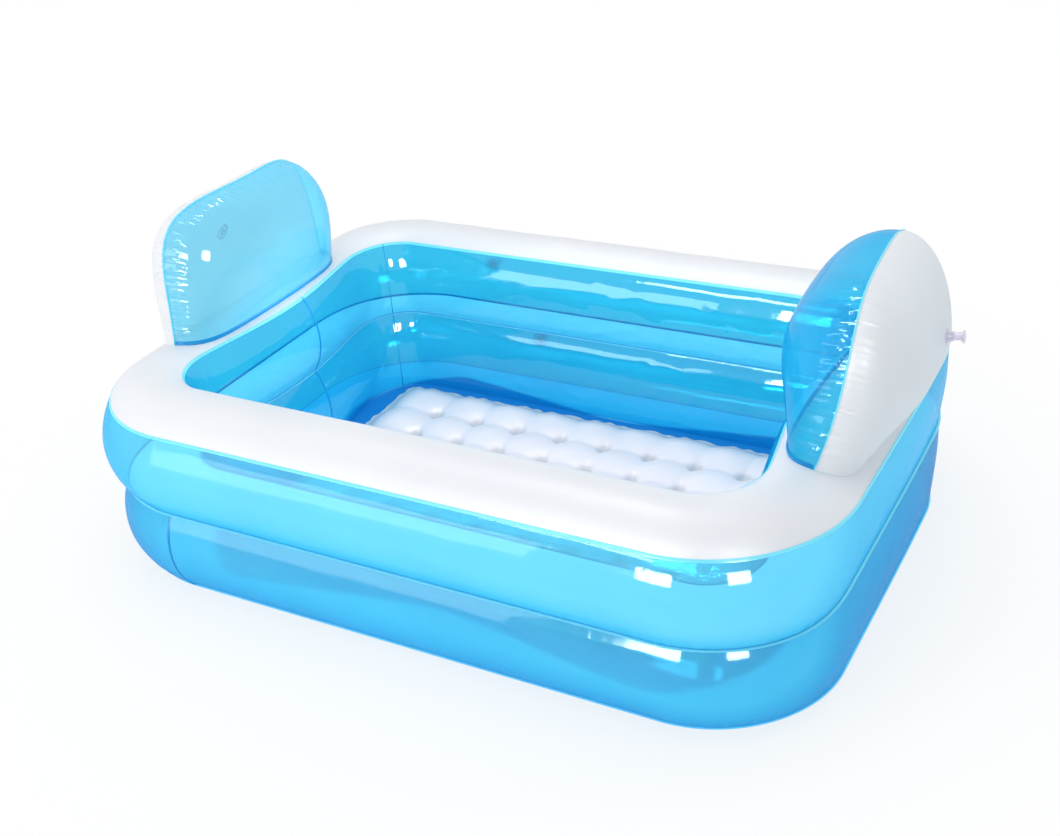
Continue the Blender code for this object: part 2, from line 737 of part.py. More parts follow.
def build_valves(sheets, materials):
    plug, flap = plug_mesh("valve_plug"), flap_mesh("valve_flap")
    tall = {"plug": plug, "flap": flap, "height": TALL_STEM, "tail": TALL_STEM_TAIL}
    tall["skirt"] = skirt_mesh("tall_skirt", TALL_SKIRT)
    tall["stem"] = stem_mesh("tall_stem", TALL_STEM, TALL_STEM_TAIL)
    low = {"plug": plug, "flap": flap, "height": LOW_STEM, "tail": LOW_STEM_TAIL}
    low["skirt"] = skirt_mesh("low_skirt", LOW_SKIRT)
    low["stem"] = stem_mesh("low_stem", LOW_STEM, LOW_STEM_TAIL)
    down, back = (0, 0, -1), (0, 1, 0)
    for name, inset, sheet, section in (
            ("upper_ring_valve", UPPER_VALVE_INSET, "upper_outer_wall", upper_outer_section),
            ("lower_ring_valve", LOWER_VALVE_INSET, "lower_outer_wall", lower_outer_section)):
        spot = wall_middle(section)
        anchor = (SIDE_STRAIGHT_START + inset, SEAM_WIDTH / 2 - spot.x, spot.y)
        build_valve(name, sheets[sheet], anchor, back, down, tall, materials)
    for name, side in (("left_backrest_valve", -1), ("right_backrest_valve", 1)):
        anchor, out = backrest_valve_place(side)
        sheet = sheets["left_backrest_back" if side < 0 else "right_backrest_back"]
        build_valve(name, sheet, anchor, out, down, tall, materials)
    lines_x = mat_lines(MAT_COLUMNS, MAT_PITCH_LONG, MAT_REACH_LONG)
    lines_y = mat_lines(MAT_ROWS, MAT_PITCH_WIDE, MAT_REACH_WIDE)
    x = (lines_x[MAT_VALVE_COLUMNS] + lines_x[MAT_VALVE_COLUMNS + 1]) / 2 + MAT_SHIFT
    y = (lines_y[0] + lines_y[1]) / 2
    anchor = (x, y, foot_height() + MAT_HEIGHT)
    build_valve("mat_valve", sheets["bubble_mat"], anchor, (0, 0, 1), (-1, 0, 0), low, materials)


def main():
    clear_scene()
    blue = make_material("blue_film", (0.10, 0.62, 0.90), 0.15, 0.6)
    white = make_material("white_film", (0.88, 0.89, 0.92), 0.35)
    clear = make_material("pale_film", (0.55, 0.85, 0.95), 0.2, 0.6)
    valve_materials = {"soft": make_material("soft_clear_vinyl", (0.74, 0.74, 0.80), 0.3, 0.8),
                       "firm": make_material("firm_clear_vinyl", (0.70, 0.70, 0.74), 0.25, 0.85)}
    build_ground_sheet(blue)
    sheets = build_rings(blue, white, clear)
    sheets["bubble_mat"] = build_bubble_mat(white)
    for side, end in ((-1, "left"), (1, "right")):
        front, back = end + "_backrest_front", end + "_backrest_back"
        sheets[front] = build_backrest_sheet(front, side, -1, blue)
        sheets[back] = build_backrest_sheet(back, side, 1, white)
    build_valves(sheets, valve_materials)


main()
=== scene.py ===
"""Dresses the inflatable pool: film sheets, welds, bubble mat, backrests and valves, on a plain stage.

Units are metres and +Z is up. The origin is on the ground under the middle of the pool, the long
sides run along X, and a backrest stands on the rim at each end.
"""

import json
import math
from collections import namedtuple

import bmesh
import bpy
import numpy as np
from bpy.props import FloatProperty, FloatVectorProperty, IntProperty, PointerProperty
from mathutils import Matrix, Vector


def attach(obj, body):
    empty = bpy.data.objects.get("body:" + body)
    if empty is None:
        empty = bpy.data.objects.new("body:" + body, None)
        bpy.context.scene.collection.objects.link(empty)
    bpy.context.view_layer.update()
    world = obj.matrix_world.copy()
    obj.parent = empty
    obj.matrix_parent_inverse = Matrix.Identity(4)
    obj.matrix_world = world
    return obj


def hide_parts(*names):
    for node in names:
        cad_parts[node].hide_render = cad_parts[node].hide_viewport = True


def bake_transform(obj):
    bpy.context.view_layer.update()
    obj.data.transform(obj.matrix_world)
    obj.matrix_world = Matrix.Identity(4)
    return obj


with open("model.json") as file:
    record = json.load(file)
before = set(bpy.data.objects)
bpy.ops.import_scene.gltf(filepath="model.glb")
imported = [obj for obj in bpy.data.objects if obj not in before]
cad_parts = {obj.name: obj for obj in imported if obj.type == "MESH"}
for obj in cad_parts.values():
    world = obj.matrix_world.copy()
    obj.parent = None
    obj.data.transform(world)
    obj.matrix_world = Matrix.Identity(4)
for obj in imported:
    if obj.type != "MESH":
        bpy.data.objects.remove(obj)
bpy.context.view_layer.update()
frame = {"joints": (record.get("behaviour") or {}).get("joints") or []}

bl_info = {
    "name": "Inflatable Pool",
    "version": (1, 0, 0),
    "blender": (4, 5, 0),
    "location": "View3D > Sidebar > Pool",
    "description": "Builds an inflatable pool with two air rings, a bubble mat and two backrests",
    "category": "Add Mesh",
}

# Film and the places of the welds, as in the frame
FILM = 0.0005
GAP = 0.0003
SEAM_LENGTH = 1.500
SEAM_WIDTH = 1.034
CORNER_RADIUS = 0.254
RIM_WIDTH_SIDE = 0.138
RIM_WIDTH_END = 0.152
RIM_END_BOW = 0.031
BOW_POWER = 1.3
OUTER_MIDDLE_HEIGHT = 0.177
OUTER_RIM_HEIGHT = 0.346
INNER_MIDDLE_HEIGHT = 0.197
INNER_RIM_HEIGHT = 0.374
FOOT_HEIGHT = FILM + GAP + FILM / 2
OUTER_BULGE = 0.032
END_OUTER_BULGE = 0.010
END_MIDDLE_INSET = 0.014
END_POWER = 8
INNER_BULGE = 0.030
RIM_CROWN = 0.038
END_RIM_CROWN = 0.018
OUTER_FOOT_INSET = 0.018
INNER_FOOT_INSET = 0.004
STRIP_WELD_OFFSET = 0.041
STRIP_WELD_CORNER_SHARE = 3 / 7

# Room that a sheet leaves at the crease between the rings and at the welds of the rim
CREASE_CUT = FILM + GAP
RIM_CUT = GAP / 2

# Straights and corners of the weld round the outer edge of the rim
END_HALF = SEAM_WIDTH / 2 - CORNER_RADIUS
SIDE_HALF = SEAM_LENGTH / 2 - CORNER_RADIUS
QUARTER = math.pi / 2 * CORNER_RADIUS
HALF_LOOP = 2 * END_HALF + 2 * SIDE_HALF + 2 * QUARTER
LOOP = 2 * HALF_LOOP
CORNER_WELD = 2 * END_HALF + QUARTER + 2 * SIDE_HALF + STRIP_WELD_CORNER_SHARE * QUARTER
END_WELD = HALF_LOOP + END_HALF - STRIP_WELD_OFFSET
OUTER_STRIP_WELD = HALF_LOOP + 2 * END_HALF + QUARTER - 0.005

# The right end's far corner is slack: its walls bow out less and its rim is drawn in
SLACK_PLACE = 2 * END_HALF + 0.34 * QUARTER
SLACK_REACH = 0.20
SLACK_INSET = 0.004
SLACK_BULGE = 0.0125

# Unevenness of the walls: pitch of the gathers and how far they reach, folds per metre and their depth
OUTER_GATHER_PITCH = 0.021
INNER_GATHER_PITCH = 0.016
RIM_GATHER_PITCH = 0.018
GATHER_REACH = 0.010
FOLD_DENSITY = 26
FOLD_DEPTH = 0.0017
WELD_SHADE_REACH = 0.0022
FOOT_EASE = 0.03

# Weld bands over the walls: height of the underside and the top, and the widths of the flanges and laps
BAND_LOW = 0.0004
BAND_HIGH = 0.0011
OUTER_FIN_REACH = 0.0052
INNER_FIN_REACH = 0.0034
FIN_HALF_THICKNESS = (0.00055, 0.0005, 0.00045, 0.0003)
LAP_WIDTH = 0.0045

# Bubble mat
MAT_COLUMNS = 8
MAT_ROWS = 6
MAT_PITCH_LONG = SEAM_LENGTH * 0.07153
MAT_PITCH_WIDE = SEAM_WIDTH * 0.09014
MAT_REACH_LONG = SEAM_LENGTH / 2 - RIM_WIDTH_END - RIM_END_BOW - 0.0484
MAT_REACH_WIDE = SEAM_WIDTH / 2 - RIM_WIDTH_SIDE - 0.0300
MAT_MARGIN = 0.010
MAT_SHIFT = -0.0165
MAT_HEIGHT = 0.028
MAT_SADDLE = 0.72
MAT_SCALLOP = 0.006
MAT_RUFFLE = 0.0035
MAT_LIFT = 0.0009
MAT_SPOT_RADIUS = 0.006
MAT_SPOT_EASE = 0.012
MAT_VALVE_REACH = 0.034
MAT_VALVE_EASE = 0.013
GROUND_RIPPLE = 0.0007

# Backrests, each value as (left, right) where the two stand differently
BACKREST_PLACE = SEAM_LENGTH / 2 - 0.0962
BACKREST_HALF_WIDTH = 0.2348
BACKREST_TOP = 0.6451
BACKREST_BASE_SWEEP = 0.0166
BACKREST_TOP_SWEEP = (0.0383, 0.0084)
BACKREST_SPREAD = 0.0615
BACKREST_BOW = (-0.030, 0.0379)
BACKREST_TURN = (-0.0074, -0.0196)
BACKREST_ROUNDNESS = 4.27
FRONT_SWELL = (0.1164, 0.1465)
FRONT_FOOT = 0.0617
FRONT_POWER = 3.53
FRONT_PEAK = 0.84
BACK_SWELL = (0.1423, 0.1343)
BACK_FOOT = 0.0672
BACK_POWER = (2.02, 1.71)
BACK_PEAK = 0.42
BACKREST_SCALLOP = 0.008
FOOT_POWER = 8
LEAN_DEGREES = (-1.6, 8.1)
BACKREST_GATHER_PITCH = 0.0125
BACKREST_GATHER_REACH = 0.016
BACK_GATHER_SHARE = 0.35

# Air valves
SKIRT_RADIUS = 0.018
SKIRT_MOUTH_RADIUS = 0.0115
SKIRT_EDGE = 0.0009
SKIRT_FILLET_RADIUS = 0.0135
SKIRT_FILLET_RISE = 0.0004
SKIRT_WALL = 0.0009
STEM_RADIUS = 0.0071
STEM_BORE_RADIUS = 0.0053
STEM_CLEARANCE = 0.0004
STEM_LIP_RADIUS = 0.0082
STEM_LIP_THICKNESS = 0.0014
LUG_WIDTH = 0.005
LUG_THICKNESS = 0.0013
HINGE_OFFSET = 0.0112
HINGE_DROP = 0.0014
KNUCKLE_RADIUS = 0.0009
PLUG_RADIUS = 0.0103
PLUG_THICKNESS = 0.0022
PLUG_EDGE = 0.0007
PLUG_INSERT_RADIUS = 0.0049
PLUG_INSERT_TIP_RADIUS = 0.0040
PLUG_INSERT_DEPTH = 0.0040
STRAP_OVERLAP = 0.0020
STRAP_THICKNESS = 0.0009
FLAP_RADIUS = 0.0068
FLAP_THICKNESS = 0.0006
Valve = namedtuple("Valve", "height tail skirt")
TALL_VALVE = Valve(0.0300, 0.0040, 0.0130)
LOW_VALVE = Valve(0.0180, 0.0020, 0.0080)
VALVES = {
    "upper_ring_valve": TALL_VALVE,
    "lower_ring_valve": TALL_VALVE,
    "mat_valve": LOW_VALVE,
    "left_backrest_valve": TALL_VALVE,
    "right_backrest_valve": TALL_VALVE,
}

# Stage
CAMERA_PLACE = (1.28398, -2.11292, 1.58817)
CAMERA_RIGHT = (0.874388, 0.478278, -0.08183)
CAMERA_UP = (-0.171748, 0.462785, 0.869674)
CAMERA_WAY = (-0.453815, 0.746378, -0.486797)
CAMERA_LENS = 48.065
BOX_TARGET = (0.5, -0.2, 0.3)
SOFTBOXES = (
    # name, place, width, height, share of the boxes' brightness
    ("left_box", (-0.45, -5.2, 1.65), 1.9, 1.5, 1.0),
    ("right_box", (3.6, -4.0, 2.1), 1.3, 1.5, 1.0),
    ("overhead_box", (-0.94, 0.34, 4.0), 0.9, 0.5, 1.0),
    ("high_box", (-1.5, -4.2, 3.35), 1.4, 0.40, 0.4),
)


class PoolSizes(bpy.types.PropertyGroup):
    """Fine sizes of the film and its welds that the solids of the frame leave open."""

    step: FloatProperty(
        name="Sheet step", description="Distance between points along a sheet",
        default=0.009, min=0.004, subtype="DISTANCE", unit="LENGTH")
    wall_points: IntProperty(
        name="Wall points", description="Points across a ring wall", default=30, min=8)
    pucker: FloatProperty(
        name="Pucker depth", description="Depth of the gathers beside the ring welds",
        default=0.0009, subtype="DISTANCE", unit="LENGTH")
    waviness: FloatProperty(
        name="Waviness", description="Depth of the slow unevenness of the taut film",
        default=0.0009, subtype="DISTANCE", unit="LENGTH")
    weld_thickness: FloatProperty(
        name="Weld thickness", description="How proud a lap weld stands",
        default=0.0006, subtype="DISTANCE", unit="LENGTH")
    mat_step: FloatProperty(
        name="Mat step", description="Distance between points of the mat",
        default=0.005, subtype="DISTANCE", unit="LENGTH")
    backrest_pucker: FloatProperty(
        name="Backrest pucker depth", description="Depth of the gathers round a backrest",
        default=0.0024, subtype="DISTANCE", unit="LENGTH")
    flange: FloatProperty(
        name="Base flange", description="Height of the welded flange along a backrest's base",
        default=0.009, subtype="DISTANCE", unit="LENGTH")


class PoolColours(bpy.types.PropertyGroup):
    """Colours of the vinyl films and the moulded valves."""

    film: FloatVectorProperty(
        name="Blue film", description="Scattered colour of the blue film",
        size=3, default=(0.39, 0.92, 1.0), min=0, max=1, subtype="COLOR")
    tint: FloatVectorProperty(
        name="Blue tint", description="Colour that one face of the film lets through",
        size=3, default=(0.49, 0.885, 0.98), min=0, max=1, subtype="COLOR")
    weld: FloatVectorProperty(
        name="Weld blue", description="Colour of doubled blue film along a weld",
        size=3, default=(0.02, 0.40, 0.80), min=0, max=1, subtype="COLOR")
    # The edge colour is a bright cyan painted highlight on the weld edges and fins, which also take a
    # painted glow
    edge: FloatVectorProperty(
        name="Edge cyan", description="Colour of a cut film edge that gathers light",
        size=3, default=(0.25, 0.85, 0.97), min=0, max=1, subtype="COLOR")
    white: FloatVectorProperty(
        name="White film", description="Colour of the white film",
        size=3, default=(0.965, 0.935, 0.935), min=0, max=1, subtype="COLOR")
    mat: FloatVectorProperty(
        name="Mat film", description="Colour of the mat's film",
        size=3, default=(0.97, 0.84, 0.84), min=0, max=1, subtype="COLOR")
    pale: FloatVectorProperty(
        name="Pale film", description="Colour of the film between the two rings",
        size=3, default=(0.95, 0.97, 0.98), min=0, max=1, subtype="COLOR")
    valve: FloatVectorProperty(
        name="Valve vinyl", description="Colour of the frosted valves",
        size=3, default=(0.70, 0.69, 0.76), min=0, max=1, subtype="COLOR")


class PoolStage(bpy.types.PropertyGroup):
    """The studio round the pool."""

    sky: FloatProperty(
        name="Sky strength", description="Strength of the white surroundings", default=0.72, min=0)
    key: FloatProperty(
        name="Key power", description="Power of the soft lamp at the front left",
        default=60.0, min=0, unit="POWER")
    top: FloatProperty(
        name="Top power", description="Power of the large soft lamp overhead",
        default=42.0, min=0, unit="POWER")
    fill: FloatProperty(
        name="Fill power", description="Power of each of the soft lamps over the opening",
        default=1.1, min=0, unit="POWER")
    boxes: FloatProperty(
        name="Box brightness", description="Brightness of the softboxes that the film mirrors",
        default=42.0, min=0)
    floor: FloatVectorProperty(
        name="Floor", description="Colour of the floor",
        size=3, default=(0.97, 0.97, 0.97), min=0, max=1, subtype="COLOR")


def unit(vectors):
    return vectors / np.maximum(np.linalg.norm(vectors, axis=-1, keepdims=True), 1e-12)


def smooth_step(share):
    share = np.clip(share, 0.0, 1.0)
    return share * share * (3.0 - 2.0 * share)


# Shader node helpers

def feed(tree, socket, value):
    """Give a socket a link, a number or a colour."""
    if isinstance(value, bpy.types.NodeSocket):
        tree.links.new(value, socket)
    elif isinstance(value, (int, float)):
        socket.default_value = value
    else:
        socket.default_value = (*value[:3], 1.0)


def add_node(tree, kind, place=(0, 0), group=None, **inputs):
    """Node of a kind, with its named sockets fed."""
    node = tree.nodes.new(kind)
    node.location = place
    if group is not None:
        node.node_tree = group
    for name, value in inputs.items():
        feed(tree, node.inputs[name.replace("_", " ")], value)
    return node


def mix_colours(tree, place, first, second, factor):
    """Mix of two colours."""
    node = add_node(tree, "ShaderNodeMix", place)
    node.data_type = "RGBA"
    for number, value in ((6, first), (7, second), (0, factor)):
        feed(tree, node.inputs[number], value)
    return node.outputs[2]


def calculate(tree, place, operation, first, second=None, clamp=False):
    """Math node on one or two values."""
    node = add_node(tree, "ShaderNodeMath", place)
    node.operation = operation
    node.use_clamp = clamp
    for socket, value in zip(node.inputs, (first, second)):
        if value is not None:
            feed(tree, socket, value)
    return node.outputs[0]


def mix_shaders(tree, place, share, first, second):
    """Mix of two shaders."""
    node = add_node(tree, "ShaderNodeMixShader", place)
    for socket, value in zip(node.inputs, (share, first, second)):
        feed(tree, socket, value)
    return node.outputs[0]


def ranged(tree, place, value, low, high, to_low, to_high):
    """Value carried from one span to another, clamped."""
    return add_node(tree, "ShaderNodeMapRange", place, Value=value, From_Min=low, From_Max=high,
                    To_Min=to_low, To_Max=to_high).outputs["Result"]


def new_group(name, inputs, outputs):
    """Shader node group with named sockets, each input given with its kind and default."""
    group = bpy.data.node_groups.new(name, "ShaderNodeTree")
    for socket_name, kind, default in inputs:
        socket = group.interface.new_socket(name=socket_name, in_out="INPUT", socket_type=kind)
        socket.default_value = default
    for socket_name, kind in outputs:
        group.interface.new_socket(name=socket_name, in_out="OUTPUT", socket_type=kind)
    start = add_node(group, "NodeGroupInput", (-900, 0))
    end = add_node(group, "NodeGroupOutput", (900, 0))
    return group, start.outputs, end.inputs


def film_surface_group():
    """Tone, gloss and fine relief of calendered vinyl film, deeper in colour beside its welds."""
    if "Film surface" in bpy.data.node_groups:
        return bpy.data.node_groups["Film surface"]
    group, start, end = new_group("Film surface", (
        ("Colour", "NodeSocketColor", (0.1, 0.6, 0.9, 1.0)),
        ("Weld Colour", "NodeSocketColor", (0.02, 0.4, 0.8, 1.0)),
        ("Weld Mask", "NodeSocketFloat", 0.0),
        ("Cloud Amount", "NodeSocketFloat", 0.10),
        ("Roughness", "NodeSocketFloat", 0.12),
        ("Smear", "NodeSocketFloat", 0.06),
        ("Slack", "NodeSocketFloat", 0.5),
    ), (("Colour", "NodeSocketColor"), ("Roughness", "NodeSocketFloat"), ("Height", "NodeSocketFloat")))
    where = add_node(group, "ShaderNodeTexCoord", (-1100, -300)).outputs["Object"]
    clouds, smears, grain, slack = [
        add_node(group, "ShaderNodeTexNoise", (-700, level), Vector=where, **settings).outputs[0]
        for level, settings in (
            (-100, {"Scale": 5.0, "Detail": 2.0, "Roughness": 0.45}),
            (-350, {"Scale": 14.0, "Detail": 3.0, "Roughness": 0.5, "Distortion": 0.6}),
            (-600, {"Scale": 900.0, "Detail": 1.0}),
            (-850, {"Scale": 9.0, "Detail": 1.5, "Roughness": 0.35, "Distortion": 0.4}))]
    cloud_share = ranged(group, (-480, -100), clouds, 0.35, 0.65, 0.0, 1.0)
    cloud_share = calculate(group, (-300, -100), "MULTIPLY", cloud_share, start["Cloud Amount"])
    shade = calculate(group, (-120, 0), "MAXIMUM", cloud_share, start["Weld Mask"], clamp=True)
    feed(group, end["Colour"], mix_colours(group, (100, 150), start["Colour"], start["Weld Colour"], shade))
    smear_share = ranged(group, (-480, -350), smears, 0.4, 0.75, 0.0, 1.0)
    smear_share = calculate(group, (-300, -350), "MULTIPLY", smear_share, start["Smear"])
    rough = calculate(group, (100, -200), "ADD", start["Roughness"], smear_share, clamp=True)
    feed(group, end["Roughness"], rough)
    fine = calculate(group, (-300, -600), "MULTIPLY", grain, 0.003)
    broad = calculate(group, (-300, -850), "MULTIPLY", slack, start["Slack"])
    feed(group, end["Height"], calculate(group, (100, -500), "ADD", fine, broad))
    return group


def emboss_group():
    """Fine crosswise ribs that the welding bar leaves along a weld."""
    if "Weld emboss" in bpy.data.node_groups:
        return bpy.data.node_groups["Weld emboss"]
    group, start, end = new_group("Weld emboss", (
        ("Scale", "NodeSocketFloat", 420.0),
        ("Depth", "NodeSocketFloat", 0.4),
    ), (("Mask", "NodeSocketFloat"), ("Height", "NodeSocketFloat")))
    where = add_node(group, "ShaderNodeTexCoord", (-900, -200)).outputs["Object"]
    ribs = add_node(group, "ShaderNodeTexVoronoi", (-500, -100), Randomness=0.1, Vector=where,
                    Scale=start["Scale"]).outputs["Distance"]
    mask = ranged(group, (-250, -100), ribs, 0.15, 0.55, 1.0, 0.0)
    feed(group, end["Mask"], mask)
    feed(group, end["Height"], calculate(group, (0, -200), "MULTIPLY", mask, start["Depth"]))
    return group


def new_material(name):
    material = bpy.data.materials.new(name)
    material.use_nodes = True
    tree = material.node_tree
    tree.nodes.clear()
    return material, tree, add_node(tree, "ShaderNodeOutputMaterial", (900, 0)).inputs["Surface"]


def film_material(name, colour, weld, tint=None, body=1.0, grazing=0.5, roughness=0.12, cloud=0.10,
                  slack=0.5, bump=0.12, emboss=0.0, glow=0.0, gathered=0.0, deep=None,
                  mirrored=(0.022, 0.35)):
    """Vinyl film: part of the light is scattered by it, and the rest goes through, tinted.

    body is how solid one face of the film is seen straight on, and grazing how solid along the face.
    glow is the share of the scattered light that comes through from behind. mirrored is the share that
    is mirrored straight on and along the face. gathered is a painted glow: emission in the film's own
    colour, given off all over, that lifts it as if more light reached it. deep is the colour along the
    face, for the longer path through the film there and also as painted shade on walls seen at a slant.
    """
    material, tree, out = new_material(name)
    near_weld = add_node(tree, "ShaderNodeAttribute", (-600, 0))
    near_weld.attribute_name = "weld"
    surface = add_node(tree, "ShaderNodeGroup", (-300, 100), film_surface_group(), Colour=colour,
                       Weld_Colour=weld, Cloud_Amount=cloud, Roughness=roughness, Slack=slack,
                       Weld_Mask=near_weld.outputs["Fac"]).outputs
    height = surface["Height"]
    if emboss:
        ribs = add_node(tree, "ShaderNodeGroup", (-300, -300), emboss_group(), Depth=emboss)
        height = calculate(tree, (-80, -250), "ADD", height, ribs.outputs["Height"])
    relief = add_node(tree, "ShaderNodeBump", (60, -250), Strength=bump, Distance=0.002, Height=height)
    normal = relief.outputs["Normal"]
    shown = surface["Colour"]
    if tint is not None:
        facing = add_node(tree, "ShaderNodeLayerWeight", (250, 550), Blend=0.5).outputs["Facing"]
    if deep is not None:
        # Deeper colour toward grazing view: the longer path through the film, and painted shade on walls
        # seen at a slant
        far_share = ranged(tree, (-100, 450), facing, 0.35, 0.95, 0.0, 1.0)
        shown = mix_colours(tree, (60, 250), shown, deep, far_share)
    shader = add_node(tree, "ShaderNodeBsdfPrincipled", (250, 100), Base_Color=shown, IOR=1.53,
                      Specular_IOR_Level=0.5 if tint is None else 0.1, Roughness=surface["Roughness"],
                      Normal=normal)
    # Painted glow: emission in the film's own colour, which no lamp gives
    if gathered:
        shader.inputs["Emission Strength"].default_value = gathered
        feed(tree, shader.inputs["Emission Color"], shown)
    solid = shader.outputs[0]
    if glow:
        through = add_node(tree, "ShaderNodeBsdfTranslucent", (250, -400), Color=shown)
        solid = mix_shaders(tree, (480, 0), glow, solid, through.outputs[0])
    if tint is not None:
        clear = add_node(tree, "ShaderNodeBsdfTransparent", (250, 350), Color=tint)
        share = ranged(tree, (450, 450), facing, 0.15, 0.95, body, grazing)
        solid = mix_shaders(tree, (680, 100), share, clear.outputs[0], solid)
        edge_on = calculate(tree, (450, 650), "POWER", facing, 5.0)
        mirror_share = ranged(tree, (620, 650), edge_on, 0.0, 1.0, *mirrored)
        mirror = add_node(tree, "ShaderNodeBsdfAnisotropic", (480, -300), Roughness=0.05, Normal=normal)
        solid = mix_shaders(tree, (780, 200), mirror_share, solid, mirror.outputs[0])
    feed(tree, out, solid)
    return material


def film(context, finish):
    """One of the pool's vinyls, made when a piece first takes it."""
    if finish in bpy.data.materials:
        return bpy.data.materials[finish]
    tones = context.scene.pool_colours
    looks = {
        "outer_blue_vinyl": dict(
            colour=tones.film, weld=tones.weld, tint=tones.tint, body=0.27, grazing=0.55, slack=0.35,
            glow=0.40, deep=(0.0, 0.62, 0.94), mirrored=(0.022, 0.12)),
        # Painted shade: a darker copy of the outer film for the lower ring, for its shade and the deep
        # ground sheet behind it
        "shaded_lower_outer_blue_vinyl": dict(
            colour=(0.20, 0.84, 0.98), weld=tones.weld, tint=tones.tint, body=0.40, grazing=0.62,
            slack=0.35, glow=0.40, deep=(0.0, 0.38, 0.74), mirrored=(0.022, 0.12)),
        "inner_blue_vinyl": dict(
            colour=(0.02, 0.46, 0.80), weld=tones.weld, tint=(0.43, 0.89, 0.975), body=0.05,
            grazing=0.42, slack=0.9, glow=0.5, mirrored=(0.045, 0.35)),
        # Painted light and shade: the backrests take lit and shaded copies of one blue film, the left one
        # paler and clearer with a painted glow, the right one darker
        "left_backrest_blue_vinyl": dict(
            colour=(0.40, 0.86, 1.0), weld=tones.weld, tint=(0.70, 0.95, 1.0), body=0.12, grazing=0.48,
            glow=0.5, gathered=0.34, deep=(0.08, 0.66, 0.94)),
        "right_backrest_blue_vinyl": dict(
            colour=(0.15, 0.78, 0.97), weld=tones.weld, tint=(0.46, 0.89, 0.985), body=0.10,
            grazing=0.50, glow=0.5, deep=(0.0, 0.54, 0.90)),
        # Painted shade: darkest where it lies bare beside the mat and lighter under the rings, with a
        # painted glow
        "ground_blue_vinyl_painted_shade_and_glow": dict(
            colour=(0.30, 0.84, 1.0), weld=(0.0, 0.17, 0.56), tint=(0.30, 0.82, 0.98), body=0.55,
            grazing=0.8, slack=1.2, gathered=0.22),
        # Painted glow: emission that brightens the divider seen through the walls
        "divider_vinyl_painted_glow": dict(
            colour=tones.pale, weld=tones.film, tint=(0.92, 0.99, 1.0), body=0.55, grazing=0.8,
            slack=0.8, glow=0.3, gathered=0.62),
        "weld_vinyl": dict(
            colour=tones.weld, weld=tones.weld, tint=(0.2, 0.75, 0.95), body=0.55, grazing=0.8,
            roughness=0.2, emboss=0.5),
        # Painted highlight: bright cyan with a painted glow, standing for the bright lines along the rim
        # welds and fins
        "edge_painted_highlight_vinyl": dict(
            colour=tones.edge, weld=tones.film, tint=(0.6, 0.95, 1.0), body=0.70, grazing=0.8,
            roughness=0.2, emboss=0.3, gathered=0.13),
        "white_vinyl": dict(
            colour=tones.white, weld=(0.80, 0.82, 0.87), roughness=0.42, cloud=0.12, bump=0.08, glow=0.3),
        # The weld colour is grey-blue on the spot welds and painted shade in the valleys between bubbles
        "mat_vinyl_welds_and_valley_shade": dict(
            colour=tones.mat, weld=(0.48, 0.52, 0.58), roughness=0.3, cloud=0.15, bump=0.15),
        # Painted glow: emission that lifts the shade inside the stems and skirts
        "valve_vinyl_painted_glow": dict(
            colour=tones.valve, weld=(0.5, 0.5, 0.58), tint=(0.95, 0.94, 0.97), body=0.25, grazing=0.6,
            roughness=0.28, cloud=0.2, slack=0.3, bump=0.05, gathered=0.22),
    }
    return film_material(finish, **looks[finish])


# Mesh helpers

def mesh_piece(name, points, faces, material, weld=None, sharp_degrees=40.0):
    """Object from arrays of points and of faces with the same corner count; weld is a value per point."""
    mesh = bpy.data.meshes.new(name)
    corners = np.concatenate([block.ravel() for block in faces]).astype(np.int32)
    sizes = np.concatenate([np.full(len(block), block.shape[1]) for block in faces]).astype(np.int32)
    starts = np.concatenate(([0], np.cumsum(sizes)[:-1])).astype(np.int32)
    mesh.vertices.add(len(points))
    mesh.vertices.foreach_set("co", np.asarray(points, np.float32).ravel())
    mesh.loops.add(len(corners))
    mesh.loops.foreach_set("vertex_index", corners)
    mesh.polygons.add(len(sizes))
    mesh.polygons.foreach_set("loop_start", starts)
    mesh.polygons.foreach_set("loop_total", sizes)
    mesh.update(calc_edges=True)
    if weld is not None:
        layer = mesh.attributes.new("weld", "FLOAT", "POINT")
        layer.data.foreach_set("value", np.asarray(weld, np.float32).ravel())
    mesh.shade_smooth()
    mesh.set_sharp_from_angle(angle=math.radians(sharp_degrees))
    piece = bpy.data.objects.new(name, mesh)
    bpy.context.scene.collection.objects.link(piece)
    mesh.materials.append(material)
    return piece


def quads(*corners):
    """Faces from four arrays of corners."""
    return np.stack([corner.ravel() for corner in corners], 1)


def closed(rows):
    """Rows with the first one again at the end."""
    return np.vstack([rows, rows[:1]])


def grid_normals(grid, loop):
    """Normals of a grid of points, along first way x second way."""
    if loop:
        first = np.roll(grid, -1, 0) - np.roll(grid, 1, 0)
    else:
        first = np.gradient(grid, axis=0)
    return unit(np.cross(first, np.gradient(grid, axis=1)))


